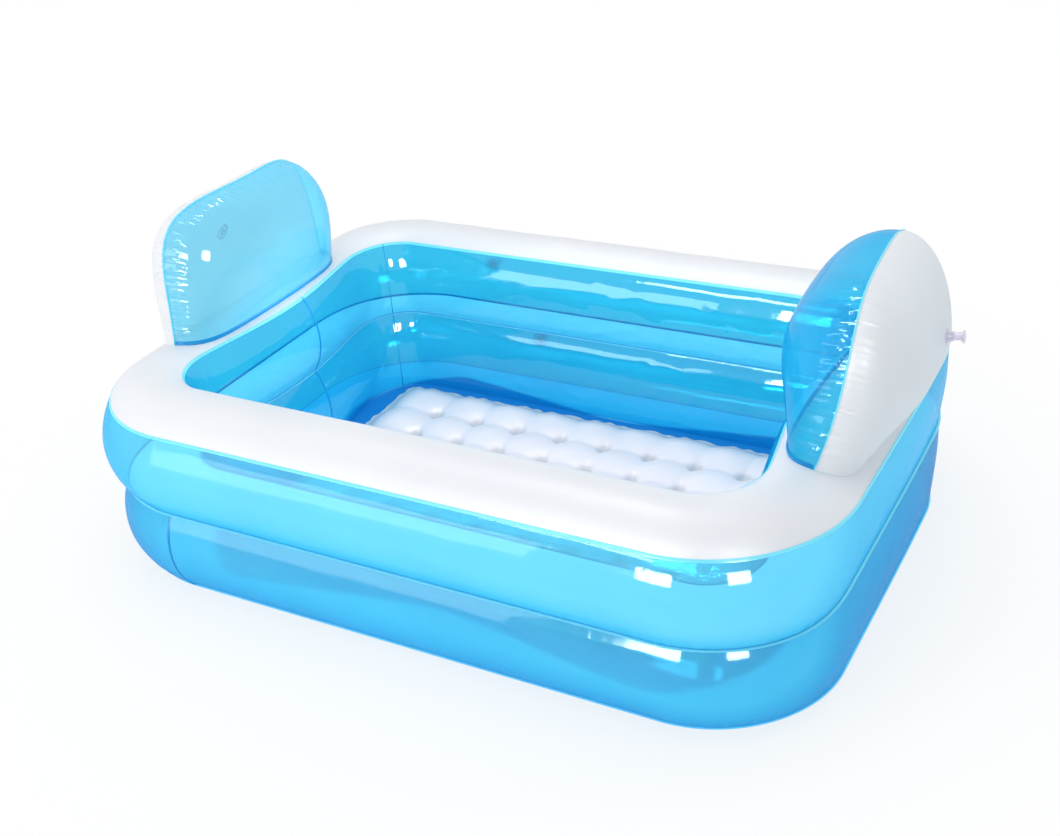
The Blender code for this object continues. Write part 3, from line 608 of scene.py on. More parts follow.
def shell_piece(name, grid, material, loop=False, thickness=FILM, weld=None):
    """Closed thin sheet round a grid of points; the grid's first way closes on itself when loop is set."""
    count, across = grid.shape[:2]
    normals = grid_normals(grid, loop)
    points = np.concatenate([(grid + normals * thickness / 2).reshape(-1, 3),
                             (grid - normals * thickness / 2).reshape(-1, 3)])
    top = np.arange(count * across).reshape(count, across)
    under = top + count * across
    if loop:
        top, under = closed(top), closed(under)
    faces = [quads(top[:-1, :-1], top[1:, :-1], top[1:, 1:], top[:-1, 1:]),
             quads(under[:-1, :-1], under[:-1, 1:], under[1:, 1:], under[1:, :-1]),
             quads(top[1:, 0], top[:-1, 0], under[:-1, 0], under[1:, 0]),
             quads(top[:-1, -1], top[1:, -1], under[1:, -1], under[:-1, -1])]
    if not loop:
        faces += [quads(top[0, :-1], top[0, 1:], under[0, 1:], under[0, :-1]),
                  quads(top[-1, 1:], top[-1, :-1], under[-1, :-1], under[-1, 1:])]
    mask = None if weld is None else np.concatenate([weld.ravel(), weld.ravel()])
    return mesh_piece(name, points, faces, material, mask)


def bar_faces(count, corners, loop=False, start=0):
    """Faces of a bar through cross-sections; the ends are capped unless it loops."""
    index = start + np.arange(count * corners).reshape(count, corners)
    around = np.roll(index, -1, 1)
    if loop:
        index, around = closed(index), closed(around)
    sides = [quads(index[:-1], index[1:], around[1:], around[:-1])]
    return sides if loop else sides + [index[:1], index[-1:, ::-1]]


def bar_piece(name, rings, material, loop=False):
    """Closed bar through cross-sections given as (places, corners, 3)."""
    points = rings.reshape(-1, 3)
    faces = bar_faces(*rings.shape[:2], loop)
    return mesh_piece(name, points, faces, material, np.zeros(len(points)), sharp_degrees=50.0)


def settle(piece, slot, *nodes, body="pool"):
    """The piece rides on a body and stands for nodes of the frame, which are hidden; slot is not used."""
    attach(piece, body)
    if nodes:
        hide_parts(*nodes)
    return piece


# Footprint of the rings

Ring = namedtuple("Ring", "points normals widths end bulge")


def end_width(y):
    """Width of the rim on an end, wider in the middle where a backrest stands."""
    along = np.minimum(1.0, np.abs(y) / END_HALF)
    return RIM_WIDTH_END + RIM_END_BOW * np.maximum(0.0, np.cos(math.pi / 2 * along)) ** BOW_POWER


def stations(places):
    """The rings at distances along the outer rim weld.

    Gives points of the weld with their outward normals, the width of the rim, how much of an end each
    place is in, and how far the outer walls bow out.
    """
    places = np.mod(places, LOOP)
    side = np.where(places < HALF_LOOP, 1.0, -1.0)
    along = np.mod(places, HALF_LOOP)
    level = 0 * along
    first, second, third = 2 * END_HALF, 2 * END_HALF + QUARTER, 2 * END_HALF + QUARTER + 2 * SIDE_HALF
    y = side * (along - END_HALF)
    x = side * (SIDE_HALF - (along - second))
    stretches = [
        (along < first, [side * SEAM_LENGTH / 2, y, level], [side, level, level], end_width(y)),
        ((along >= second) & (along < third), [x, side * SEAM_WIDTH / 2, level], [level, side, level],
         np.full(len(places), RIM_WIDTH_SIDE))]
    for corner, start, quarter, reach in (((along >= first) & (along < second), first, 0, 1),
                                          (along >= third, third, 1, -1)):
        share = (along - start) / QUARTER
        angle = math.pi / 2 * (quarter + share)
        normal = side[:, None] * np.stack([np.cos(angle), np.sin(angle), level], 1)
        centre = np.stack([side * reach * SIDE_HALF, side * END_HALF, level], 1)
        turn = share if quarter == 0 else 1 - share
        width = RIM_WIDTH_END + (RIM_WIDTH_SIDE - RIM_WIDTH_END) * smooth_step(turn)
        stretches.append((corner, (centre + normal * CORNER_RADIUS).T, normal.T, width))
    points, normals = np.zeros((len(places), 3)), np.zeros((len(places), 3))
    widths = np.zeros(len(places))
    for here, point, normal, width in stretches:
        points[here] = np.stack(point, 1)[here]
        normals[here] = np.stack(normal, 1)[here]
        widths[here] = width[here]
    end = np.abs(normals[:, 0]) ** END_POWER
    slack = np.exp(-((places - SLACK_PLACE) / SLACK_REACH) ** 2)
    points = points - normals * (slack * SLACK_INSET)[:, None]
    bulge = OUTER_BULGE + (END_OUTER_BULGE - OUTER_BULGE) * end - SLACK_BULGE * slack
    return Ring(points, normals, widths - slack * SLACK_INSET, end, bulge)


def corner_share(places):
    """How much of a corner each place is in: 1 in the middle of a corner and 0 along a straight."""
    along = np.mod(places, HALF_LOOP)
    found = np.zeros(len(places))
    for middle in (2 * END_HALF + QUARTER / 2, HALF_LOOP - QUARTER / 2):
        found = np.maximum(found, 1 - smooth_step((np.abs(along - middle) - QUARTER / 3) / (QUARTER / 3)))
    return found


def loop_places(step):
    return np.arange(0, LOOP, LOOP / round(LOOP / step))


def pair(inset, height, count):
    """(inset, height) pairs for every station, from numbers or arrays."""
    return np.stack([np.broadcast_to(inset, count), np.broadcast_to(height, count)], 1)


def arc(start, end, bulge, steps):
    """Arcs from start to end that bow out by bulge to the left of the way, as (stations, points, 2)."""
    chord = end - start
    length = np.linalg.norm(chord, axis=1)
    along = chord / length[:, None]
    across = np.stack([-along[:, 1], along[:, 0]], 1)
    bulge = np.broadcast_to(bulge, length.shape)
    radius = (length ** 2 / 4 + bulge ** 2) / (2 * bulge)
    half = np.arctan2(length / 2, radius - bulge)
    middle = (start + end) / 2 + across * (bulge - radius)[:, None]
    angle = half[:, None] * np.linspace(-1, 1, steps)[None, :]
    swing = (radius[:, None] * np.sin(angle))[..., None] * along[:, None, :]
    rise = (radius[:, None] * np.cos(angle))[..., None] * across[:, None, :]
    return middle[:, None, :] + swing + rise


def middle_welds(ring):
    """The welds of the divider to the outer and the inner walls."""
    count = len(ring.widths)
    return (pair(END_MIDDLE_INSET * ring.end, OUTER_MIDDLE_HEIGHT, count),
            pair(ring.widths, INNER_MIDDLE_HEIGHT, count))


def section(kind, ring, steps):
    """Cross-sections of one sheet of the rings at every station, cut back at its welds."""
    count = len(ring.widths)
    outer_foot = pair(OUTER_FOOT_INSET, FOOT_HEIGHT, count)
    inner_foot = pair(ring.widths - INNER_FOOT_INSET, FOOT_HEIGHT, count)
    outer_middle, inner_middle = middle_welds(ring)
    outer_rim = pair(0.0, OUTER_RIM_HEIGHT, count)
    inner_rim = pair(ring.widths, INNER_RIM_HEIGHT, count)
    crown = RIM_CROWN + (END_RIM_CROWN - RIM_CROWN) * ring.end
    start, end, bulge, start_cut, end_cut = {
        "lower_outer": (outer_foot, outer_middle, ring.bulge, 0, CREASE_CUT),
        "upper_outer": (outer_middle, outer_rim, ring.bulge, CREASE_CUT, RIM_CUT),
        "crown": (outer_rim, inner_rim, crown, RIM_CUT, RIM_CUT),
        "upper_inner": (inner_rim, inner_middle, INNER_BULGE, RIM_CUT, CREASE_CUT),
        "lower_inner": (inner_middle, inner_foot, INNER_BULGE, CREASE_CUT, 0),
    }[kind]
    whole = arc(start, end, bulge, steps)
    cut = whole.copy()
    cut[:, 0] += unit(whole[:, 1] - whole[:, 0]) * start_cut
    cut[:, -1] += unit(whole[:, -2] - whole[:, -1]) * end_cut
    return cut


def placed(ring, sections):
    """Points in space of cross-sections at stations."""
    grid = ring.points[:, None, :] - ring.normals[:, None, :] * sections[..., :1]
    grid[..., 2] += sections[..., 1]
    return grid


def run_along(lines):
    """Distance of each point from the first one of its line."""
    steps = np.linalg.norm(np.diff(lines, axis=1), axis=2)
    return np.concatenate([np.zeros((len(lines), 1)), np.cumsum(steps, 1)], 1)


def slow_waves(places, across, seed):
    """Slow unevenness of a taut sheet, from -1 to 1."""
    u, v = 2 * math.pi * places[:, None], across[None, :]
    return (0.5 * np.sin(u / 0.43 + seed) + 0.3 * np.sin(u / 0.19 + 2.1 * seed + 3 * v)
            + 0.2 * np.sin(u / 0.117 + 1.3 * seed - 5 * v))


def gathers(places, pitch, seed):
    """Uneven gathers along a weld, from -1 to 1."""
    phase = 2 * math.pi * places / pitch + 1.7 * np.sin(2 * math.pi * places / 0.171 + seed)
    return np.sin(phase) * (0.62 + 0.38 * np.sin(2 * math.pi * places / 0.287 + 1.9 * seed))


def fading(distance, reach):
    """Rise from 0 at a weld to 1 at the reach, and a slow fall beyond it."""
    return distance / reach * np.exp(1 - distance / reach)


def folds(places, run, seed):
    """Relief of shallow folds in slack film, most of them nearly along the ring."""
    draw = np.random.default_rng(seed)
    span = places[-1] - places[0]
    relief = np.zeros(run.shape)
    for _ in range(round(span * FOLD_DENSITY)):
        middle = places[0] + span * draw.uniform(0.02, 0.98)
        level = run[:, -1].mean() * draw.uniform(0.12, 0.88)
        slope = math.tan(math.radians(draw.normal(0.0, 20.0)))
        length = draw.uniform(0.02, 0.08)
        width = draw.uniform(0.004, 0.011)
        height = FOLD_DEPTH * draw.uniform(0.25, 1.0) * draw.choice((-1.0, 1.0))
        near = np.abs(places - middle) < 2.5 * length
        along = places[near] - middle
        off = run[near] - (level + slope * along)[:, None]
        relief[near] += height * np.exp(-(along / length) ** 2)[:, None] * np.exp(-(off / width) ** 2)
    return relief


def ring_sheet(context, kind, places, loop, seed, pitch, corner_gathers=1.0):
    """Points of a ring's sheet, uneven and gathered at its welds, and how near each is to a weld."""
    sizes = context.scene.pool_sizes
    ring = stations(places)
    sections = section(kind, ring, sizes.wall_points)
    grid = placed(ring, sections)
    run = run_along(sections)
    back = run[:, -1:] - run
    bow = np.sin(math.pi * run / run[:, -1:])
    relief = sizes.waviness * slow_waves(places, np.linspace(0, 1, sizes.wall_points), seed) * bow
    depth = sizes.pucker * (0.25 + corner_gathers * corner_share(places))[:, None]
    for edge, shift in ((run, 0.0), (back, 2.3)):
        relief = relief + depth * fading(edge, GATHER_REACH) * gathers(places, pitch, seed + shift)[:, None]
    if kind.endswith("inner"):
        relief = relief + folds(places, run, round(10 * seed)) * bow
    if kind == "lower_outer":
        relief = relief * smooth_step(run / FOOT_EASE)
    if kind == "lower_inner":
        relief = relief * smooth_step(back / FOOT_EASE)
    weld = np.exp(-(np.minimum(run, back) / WELD_SHADE_REACH) ** 2) * 0.75
    return grid + grid_normals(grid, loop) * relief[..., None], weld


# Weld bands

def outward(lines):
    """Directions off lines in the section plane, to their left."""
    way = np.gradient(lines, axis=1)
    return unit(np.stack([-way[..., 1], way[..., 0]], -1))


def line_beside(sections, from_end, distances):
    """Points of each section at distances from its first or last point."""
    run = run_along(sections)
    if from_end:
        run = (run[:, -1:] - run)[:, ::-1]
        sections = sections[:, ::-1]
    return np.array([[np.interp(distances, way, line[:, axis]) for axis in (0, 1)]
                     for way, line in zip(run, sections)]).transpose(0, 2, 1)


def rim_weld(context, name, first_kind, second_kind, first_reach, second_reach, material):
    """Band over the weld between two sheets of the rings, rounded off, reaching over each of them."""
    places = loop_places(context.scene.pool_sizes.step)
    ring = stations(places)
    before = line_beside(section(first_kind, ring, 40), True, np.linspace(first_reach, 0.0004, 5))
    after = line_beside(section(second_kind, ring, 40), False, np.linspace(0.0004, second_reach, 4))
    lines = np.concatenate([before, after], 1)
    up = outward(lines)
    count = lines.shape[1]
    round_off = np.sin(math.pi * (np.arange(count) + 0.5) / count) ** 0.5
    over = lines + up * (BAND_LOW + (BAND_HIGH - BAND_LOW) * round_off[None, :, None])
    under = lines + up * BAND_LOW
    return bar_piece(name, placed(ring, np.concatenate([over, under[:, ::-1]], 1)), material, loop=True)


def middle_fin(context, name, outer, material, reach):
    """Thin flange that stands out of the crease between the two rings."""
    places = loop_places(context.scene.pool_sizes.step)
    ring = stations(places)
    middle, inner = middle_welds(ring)
    way = unit(inner - middle)
    root, out = (middle, -way) if outer else (inner, way)
    droop = np.array([0.0, -1.0])
    ripple = 0.0004 * gathers(places, 0.017, 0.9)[:, None]
    line = np.stack([root + out * (reach * share) + droop * (0.0012 * share ** 2 + ripple * share)
                     for share in np.linspace(0, 1, 4)], 1)
    thick = np.array([0.0, 1.0]) * np.array(FIN_HALF_THICKNESS)[None, :, None]
    outline = np.concatenate([line + thick, (line - thick)[:, ::-1]], 1)
    if not outer:
        outline = outline[:, ::-1]
    return bar_piece(name, placed(ring, outline), material, loop=True)


def strip_weld(context, name, kind, place, material):
    """Lap weld across a ring wall, where two strips of film meet."""
    thickness = context.scene.pool_sizes.weld_thickness
    offsets = np.array([-1.0, -0.6, 0.6, 1.0])
    proud = thickness * np.array([0.35, 1.0, 1.0, 0.35]) + 0.0009
    ring = stations(place + np.concatenate([offsets, offsets[::-1]]) * LAP_WIDTH / 2)
    lines = section(kind, ring, 34)
    proud = np.concatenate([proud, np.full(4, 0.0003)])[:, None, None]
    grid = placed(ring, lines + outward(lines) * proud)
    return bar_piece(name, grid.transpose(1, 0, 2), material)


class POOL_OT_rings(bpy.types.Operator):
    """Outer and inner walls of the two air rings, with the web between them"""

    bl_idname = "pool.rings"
    bl_label = "Ring walls"

    def execute(self, context):
        step = context.scene.pool_sizes.step
        around = loop_places(step)
        for level, seed, finish in (("lower", 0.4, "shaded_lower_outer_blue_vinyl"),
                                    ("upper", 1.7, "outer_blue_vinyl")):
            grid, weld = ring_sheet(context, level + "_outer", around, True, seed, OUTER_GATHER_PITCH)
            name = level + "_outer_wall"
            wall = shell_piece(name + "_film", grid, film(context, finish), loop=True, weld=weld)
            settle(wall, "blue_film", name)
            for part, first, last in (("short", CORNER_WELD, END_WELD),
                                      ("long", END_WELD, CORNER_WELD + LOOP)):
                places = np.linspace(first + GAP, last - GAP, round((last - first) / step))
                grid, weld = ring_sheet(context, level + "_inner", places, False, seed + 3,
                                        INNER_GATHER_PITCH)
                name = f"{level}_inner_wall_{part}"
                wall = shell_piece(name + "_film", grid, film(context, "inner_blue_vinyl"), weld=weld)
                settle(wall, "blue_film", name)
        ring = stations(around)
        outer, inner = middle_welds(ring)
        shares = np.linspace(0.0, 1.0, 22)[None, :, None]
        web = outer[:, None] * (1 - shares) + inner[:, None] * shares
        sag = np.sin(math.pi * shares[..., 0]) * 0.0012
        web[..., 1] += sag * slow_waves(around, shares[0, :, 0] * 4, 2.2)
        vinyl = film(context, "divider_vinyl_painted_glow")
        divider = shell_piece("ring_divider_film", placed(ring, web), vinyl, loop=True)
        settle(divider, "pale_film", "ring_divider")
        return {"FINISHED"}


class POOL_OT_rim(bpy.types.Operator):
    """Broad white top sheet of the rim"""

    bl_idname = "pool.rim"
    bl_label = "White rim"

    def execute(self, context):
        around = loop_places(context.scene.pool_sizes.step)
        grid, weld = ring_sheet(context, "crown", around, True, 5.1, RIM_GATHER_PITCH, corner_gathers=0.7)
        rim = shell_piece("rim_top_film", grid, film(context, "white_vinyl"), loop=True, weld=weld)
        settle(rim, "white_film", "rim_top_sheet")
        return {"FINISHED"}


class POOL_OT_welds(bpy.types.Operator):
    """Weld bands of the rings: both edges of the rim, the creases between the rings, and the strip ends"""

    bl_idname = "pool.welds"
    bl_label = "Ring welds"

    def execute(self, context):
        edge, weld = film(context, "edge_painted_highlight_vinyl"), film(context, "weld_vinyl")
        for name, *sheets_and_reaches, vinyl in (
                ("outer_rim_weld", "upper_outer", "crown", 0.0042, 0.0016, edge),
                ("inner_rim_weld", "crown", "upper_inner", 0.0012, 0.0046, edge),
                ("outer_middle_weld", "lower_outer", "upper_outer", 0.0012, 0.0044, weld),
                ("inner_middle_weld", "upper_inner", "lower_inner", 0.0024, 0.0012, weld)):
            settle(rim_weld(context, name, *sheets_and_reaches, vinyl), "blue_film")
        settle(middle_fin(context, "outer_middle_fin", True, edge, OUTER_FIN_REACH), "blue_film")
        settle(middle_fin(context, "inner_middle_fin", False, edge, INNER_FIN_REACH), "blue_film")
        for name, kind, place in (("lower_outer_strip_weld", "lower_outer", OUTER_STRIP_WELD),
                                  ("lower_inner_end_weld", "lower_inner", END_WELD),
                                  ("upper_inner_end_weld", "upper_inner", END_WELD),
                                  ("lower_inner_corner_weld", "lower_inner", CORNER_WELD),
                                  ("upper_inner_corner_weld", "upper_inner", CORNER_WELD)):
            settle(strip_weld(context, name, kind, place, weld), "blue_film")
        return {"FINISHED"}


class POOL_OT_floor(bpy.types.Operator):
    """Ground sheet under the whole pool, rippled where it lies bare beside the mat"""

    bl_idname = "pool.floor"
    bl_label = "Ground sheet"

    def execute(self, context):
        ring = stations(loop_places(context.scene.pool_sizes.step))
        outline = ring.points - ring.normals * (OUTER_FOOT_INSET - 0.003)
        shares = np.sqrt(np.linspace(0.0009, 1.0, 40))[None, :, None]
        grid = outline[:, None, :] * shares
        x, y = grid[..., 0], grid[..., 1]
        inner = ring.points - ring.normals * (ring.widths - INNER_FOOT_INSET)[:, None]
        inner_share = np.linalg.norm(inner, axis=1) / np.linalg.norm(outline, axis=1)
        within = inner_share[:, None] - shares[..., 0]
        bare = smooth_step(within / 0.02 + 0.5)
        beside_mat = np.maximum(np.abs(x - MAT_SHIFT) - MAT_REACH_LONG,
                                np.abs(y) - MAT_REACH_WIDE) - MAT_MARGIN
        ripples = 2 + (np.sin(34 * x + 5 * np.sin(9 * y)) * np.sin(29 * y + 2) + np.sin(71 * x - 40 * y))
        ripples = GROUND_RIPPLE * (ripples * smooth_step(beside_mat / 0.02)) * bare
        grid[..., 2] = FILM / 2 + ripples * smooth_step(within / 0.03)
        vinyl = film(context, "ground_blue_vinyl_painted_shade_and_glow")
        # bare goes in as the weld mask: painted shade, darker where the sheet lies bare beside the mat
        sheet = shell_piece("ground_sheet_film", grid, vinyl, loop=True, weld=bare)
        settle(sheet, "blue_film", "ground_sheet")
        return {"FINISHED"}


# Bubble mat

def mat_lines(count, pitch, reach):
    """Places of the mat's rows of spot welds, with its two edges."""
    inner = [(k - (count - 1) / 2) * pitch for k in range(count)]
    return np.array([-reach] + inner + [reach])


def cell_share(places, lines):
    """Where each place lies between its two weld lines: the cell's number and the share across it."""
    cell = np.clip(np.searchsorted(lines, places, side="right") - 1, 0, len(lines) - 2)
    return cell, np.clip((places - lines[cell]) / (lines[cell + 1] - lines[cell]), 0.0, 1.0)


def mat_height(x, y, lines_x, lines_y):
    """Height of the mat's film over a grid of places, as a share of a full bubble."""
    rises, edges = [], []
    for places, lines in ((x, lines_x), (y, lines_y)):
        cell, share = cell_share(places, lines)
        rises.append((np.sin(math.pi * share) ** 2 + 0.004) ** 0.40)
        edges.append((cell == 0) & (share < 0.5) | (cell == len(lines) - 2) & (share > 0.5))
    a, b = np.meshgrid(*rises, indexing="ij")
    edge_x, edge_y = np.meshgrid(*edges, indexing="ij")
    height = MAT_SADDLE * (a + b) + (1 - 2 * MAT_SADDLE) * a * b
    height = np.where(edge_x, np.minimum(height, a * (MAT_SADDLE + (1 - MAT_SADDLE) * b)), height)
    height = np.where(edge_y, np.minimum(height, b * (MAT_SADDLE + (1 - MAT_SADDLE) * a)), height)
    height[(x < lines_x[0]) | (x > lines_x[-1])] = 0.0
    height[:, (y < lines_y[0]) | (y > lines_y[-1])] = 0.0
    return height


def nearest_weld(x, y, lines_x, lines_y):
    """Offsets from each place of the mat to the nearest spot weld."""
    found = []
    for places, lines in ((x, lines_x), (y, lines_y)):
        off = places[:, None] - lines[None, 1:-1]
        found.append(np.take_along_axis(off, np.abs(off).argmin(1)[:, None], 1)[:, 0])
    return np.meshgrid(*found, indexing="ij")


def scallop(places, lines):
    """How far the mat's edge is drawn in beside each place: most at a weld line, none in mid-cell."""
    share = cell_share(places, lines)[1]
    return MAT_SCALLOP * (1 - np.abs(np.sin(math.pi * share)) ** 0.8)


def mat_grid(step):
    """Points of the mat's film, and a mask for its spot welds and for painted shade in the valleys between
    bubbles.
    """
    lines_x = mat_lines(MAT_COLUMNS, MAT_PITCH_LONG, MAT_REACH_LONG)
    lines_y = mat_lines(MAT_ROWS, MAT_PITCH_WIDE, MAT_REACH_WIDE)
    reach_x, reach_y = MAT_REACH_LONG + MAT_MARGIN, MAT_REACH_WIDE + MAT_MARGIN
    x = np.linspace(-reach_x, reach_x, round(2 * reach_x / step))
    y = np.linspace(-reach_y, reach_y, round(2 * reach_y / step))
    share = mat_height(x, y, lines_x, lines_y)
    off_x, off_y = nearest_weld(x, y, lines_x, lines_y)
    away = np.hypot(off_x, off_y)
    angle = np.arctan2(off_y, off_x)
    spot = smooth_step((away - MAT_SPOT_RADIUS) / MAT_SPOT_EASE)
    share = share * (0.12 + 0.88 * spot)
    creases = 0.0012 * np.sin(7 * angle + 9 * x[:, None] + 13 * y[None, :]) * np.exp(-away / 0.022) * spot
    creases += 0.0009 * np.sin(61 * x[:, None] + 3 * np.sin(23 * y[None, :])) * share
    ix, iy = np.meshgrid(x, y, indexing="ij")
    drawn_x = scallop(y, lines_y)[None, :] * smooth_step(np.abs(ix) / reach_x * 4 - 3)
    drawn_y = scallop(x, lines_x)[:, None] * smooth_step(np.abs(iy) / reach_y * 4 - 3)
    beyond_x, beyond_y = np.abs(ix) - MAT_REACH_LONG, np.abs(iy) - MAT_REACH_WIDE
    along = 2 * math.pi * np.where(beyond_x > beyond_y, iy, ix)
    ruffle = 0.5 + 0.5 * np.sin(along / 0.047 + 1.6 * np.sin(along / 0.173))
    ruffle = MAT_RUFFLE * ruffle * smooth_step(np.maximum(beyond_x, beyond_y) / MAT_MARGIN)
    bubble = MAT_HEIGHT * share
    swell = np.maximum(bubble + np.minimum(creases, bubble), 0.0) + MAT_LIFT + ruffle
    grid = np.stack([ix - np.sign(ix) * drawn_x + MAT_SHIFT, iy - np.sign(iy) * drawn_y,
                     FOOT_HEIGHT + swell], -1)
    # Mask high where the film lies low: the spot welds, and painted shade in the valleys between the bubbles
    return grid, smooth_step(1.2 - share * 1.7) * 0.8


def seat_valve(grid, place):
    """Bring a level sheet to the plane of a valve's skirt, close round the valve."""
    out, origin = place.to_3x3().col[2], place.translation
    off_x, off_y = grid[..., 0] - origin.x, grid[..., 1] - origin.y
    level = origin.z - (out.x * off_x + out.y * off_y) / out.z - FILM / 2 + 0.0001
    near = smooth_step((MAT_VALVE_REACH - np.hypot(off_x, off_y)) / MAT_VALVE_EASE)
    grid[..., 2] += (level - grid[..., 2]) * near


class POOL_OT_mat(bpy.types.Operator):
    """Bubble mat: a film spot welded down to the ground sheet between its bubbles"""

    bl_idname = "pool.mat"
    bl_label = "Bubble mat"

    def execute(self, context):
        grid, weld = mat_grid(context.scene.pool_sizes.mat_step)
        seat_valve(grid, valve_frame("mat_valve"))
        # weld carries the mask of the spot welds and of painted shade in the valleys
        piece = shell_piece("bubble_mat_film", grid, film(context, "mat_vinyl_welds_and_valley_shade"), weld=weld)
        settle(piece, "mat_film", "bubble_mat")
        return {"FINISHED"}


# Backrests

def rim_surface_height(x, y):
    """Height of the middle of the rim's top sheet over a point on the straight of an end."""
    width = end_width(y)
    rise = INNER_RIM_HEIGHT - OUTER_RIM_HEIGHT
    length = np.hypot(width, rise)
    radius = (length ** 2 / 4 + END_RIM_CROWN ** 2) / (2 * END_RIM_CROWN)
    middle_x = width / 2 - rise / length * (END_RIM_CROWN - radius)
    middle_z = OUTER_RIM_HEIGHT + rise / 2 + width / length * (END_RIM_CROWN - radius)
    return middle_z + np.sqrt(np.maximum(0.0, radius ** 2 - (SEAM_LENGTH / 2 - x - middle_x) ** 2))


def backrest_grid(side, face, rings, turns):
    """Points of a backrest sheet, in rings from the middle of its base out to the D-shaped weld."""
    which = 1 if side > 0 else 0
    angle = math.pi * turns[None, :]
    cosine, sine = np.cos(angle), np.abs(np.sin(angle))
    reach = (np.abs(cosine) ** BACKREST_ROUNDNESS + sine ** BACKREST_ROUNDNESS) ** (-1 / BACKREST_ROUNDNESS)
    gathered = smooth_step((turns - 0.56) * 7) * smooth_step((0.97 - turns) * 12)
    drawn = 0.5 + 0.5 * gathers(turns * 1.15, 0.0115, 1.0 + side)
    drawn = BACKREST_SCALLOP * (0.25 + 0.75 * gathered) * drawn
    ring = rings[:, None]
    reach = reach * (1 - drawn[None, :] * ring ** 8)
    across, up = ring * reach * cosine, ring * reach * sine
    if face > 0:
        swell, power, peak, foot = BACK_SWELL[which], BACK_POWER[which], BACK_PEAK, BACK_FOOT
    else:
        swell, power, peak, foot = FRONT_SWELL[which], FRONT_POWER, FRONT_PEAK, FRONT_FOOT
    swell = swell * np.sqrt(np.maximum(0.0, 1 - ring ** power))
    foot = foot * np.sqrt(np.maximum(0.0, 1 - ring ** FOOT_POWER))
    rise = np.sin(math.pi / 2 * np.minimum(1.0, up / peak))
    weld = (GAP + FILM) / 2
    sweep = BACKREST_BASE_SWEEP + (BACKREST_TOP_SWEEP[which] - BACKREST_BASE_SWEEP) * np.minimum(1.0, up)
    base = BACKREST_PLACE + sweep * across ** 2
    y = BACKREST_HALF_WIDTH * across * (1 + BACKREST_SPREAD * (1 - up) ** 2)
    seat = rim_surface_height(base + face * (foot + weld), y) + FILM + GAP
    tall = BACKREST_TOP - seat
    drift = tall * up * math.tan(math.radians(LEAN_DEGREES[which])) + BACKREST_BOW[which] * up * (1 - up)
    x = base + drift + BACKREST_TURN[which] * across * up + face * (foot + (swell - foot) * rise + weld)
    return np.stack([side * x, y, seat + tall * up], -1)


def backrest_sheet(context, name, side, face, finish):
    """One sheet of a backrest, gathered beside its weld; the gathers are deeper on the front."""
    rings = np.concatenate([np.linspace(0.004, 0.80, 34)[:-1], 1 - 0.20 * np.linspace(1, 0, 22) ** 1.7])
    turns = np.linspace(0, 1, 241)
    grid = backrest_grid(side, face, rings, turns)
    normals = grid_normals(grid, False)
    seam = grid[-1]
    run = run_along(seam[None])[0]
    depth = np.linalg.norm(grid - seam[None, :, :], axis=2)
    tight = 0.35 + 0.65 * smooth_step((turns - 0.56) * 7)
    waves = gathers(run, BACKREST_GATHER_PITCH, 2.0 + side) + 0.5 * gathers(run, 0.031, 0.7 * side)
    pucker = context.scene.pool_sizes.backrest_pucker * (1.0 if face < 0 else BACK_GATHER_SHARE)
    relief = pucker * fading(depth, BACKREST_GATHER_REACH) * (tight * waves)[None, :]
    relief = relief * smooth_step(np.minimum(turns, 1 - turns) * 25)[None, :]
    grid = grid + normals * (relief * face * side)[..., None]
    weld = np.exp(-(depth / 0.003) ** 2) * 0.7
    if face * side < 0:
        grid, weld = grid[:, ::-1], weld[:, ::-1]
    return shell_piece(name, grid, film(context, finish), weld=weld)


def backrest_fin(context, name, side):
    """Narrow fin of doubled film that stands out round the D-shaped weld."""
    turns = np.linspace(0.0, 1.0, 221)
    front, back = (backrest_grid(side, face, np.array([0.985, 1.0]), turns) for face in (-1, 1))
    seam = (front[1] + back[1]) / 2
    along = unit(np.gradient(seam, axis=0))
    out = unit((front[1] - front[0]) + (back[1] - back[0]))
    out = unit(out - along * (out * along).sum(1, keepdims=True))
    across = np.cross(along, out)
    run = run_along(seam[None])[0][:, None]
    wave = 0.0005 * gathers(run, BACKREST_GATHER_PITCH, 2.0 + side)
    reach = 0.0030 + 0.0005 * gathers(run, BACKREST_GATHER_PITCH, 3.1)
    # share of the reach, start inside the weld, half thickness
    profile = ((0.0, -0.0006, 0.0005), (0.5, 0.0, 0.00055), (0.92, 0.0, 0.0005), (1.0, 0.0, 0.0002))
    over, under = ([seam + out * (reach * share + start) + across * (face * thick + wave * share)
                    for share, start, thick in profile] for face in (1, -1))
    return bar_piece(name, np.stack(over + under[::-1], 1), film(context, "edge_painted_highlight_vinyl"))


def base_flange(context, name, side, face):
    """Flange along the foot of a backrest sheet, where it is welded to the rim."""
    height = context.scene.pool_sizes.flange
    shares = np.linspace(-1.0, 1.0, 90)
    ends = backrest_grid(side, face, np.maximum(np.abs(shares), 0.0005), np.array([0.0, 1.0]))
    foot = np.where(shares[:, None] >= 0, ends[:, 0], ends[:, 1])
    rise, out = np.array([0.0, 0.0, 1.0]), np.array([face * side, 0.0, 0.0])
    outline = ((0.0002, 0.0006), (0.0002, 0.0024), (height * 0.45, 0.0030), (height * 0.85, 0.0026),
               (height, 0.0017), (height * 0.9, 0.0007))
    rings = np.stack([foot + rise * level + out * proud for level, proud in outline], 1)
    return bar_piece(name, rings, film(context, "weld_vinyl"))


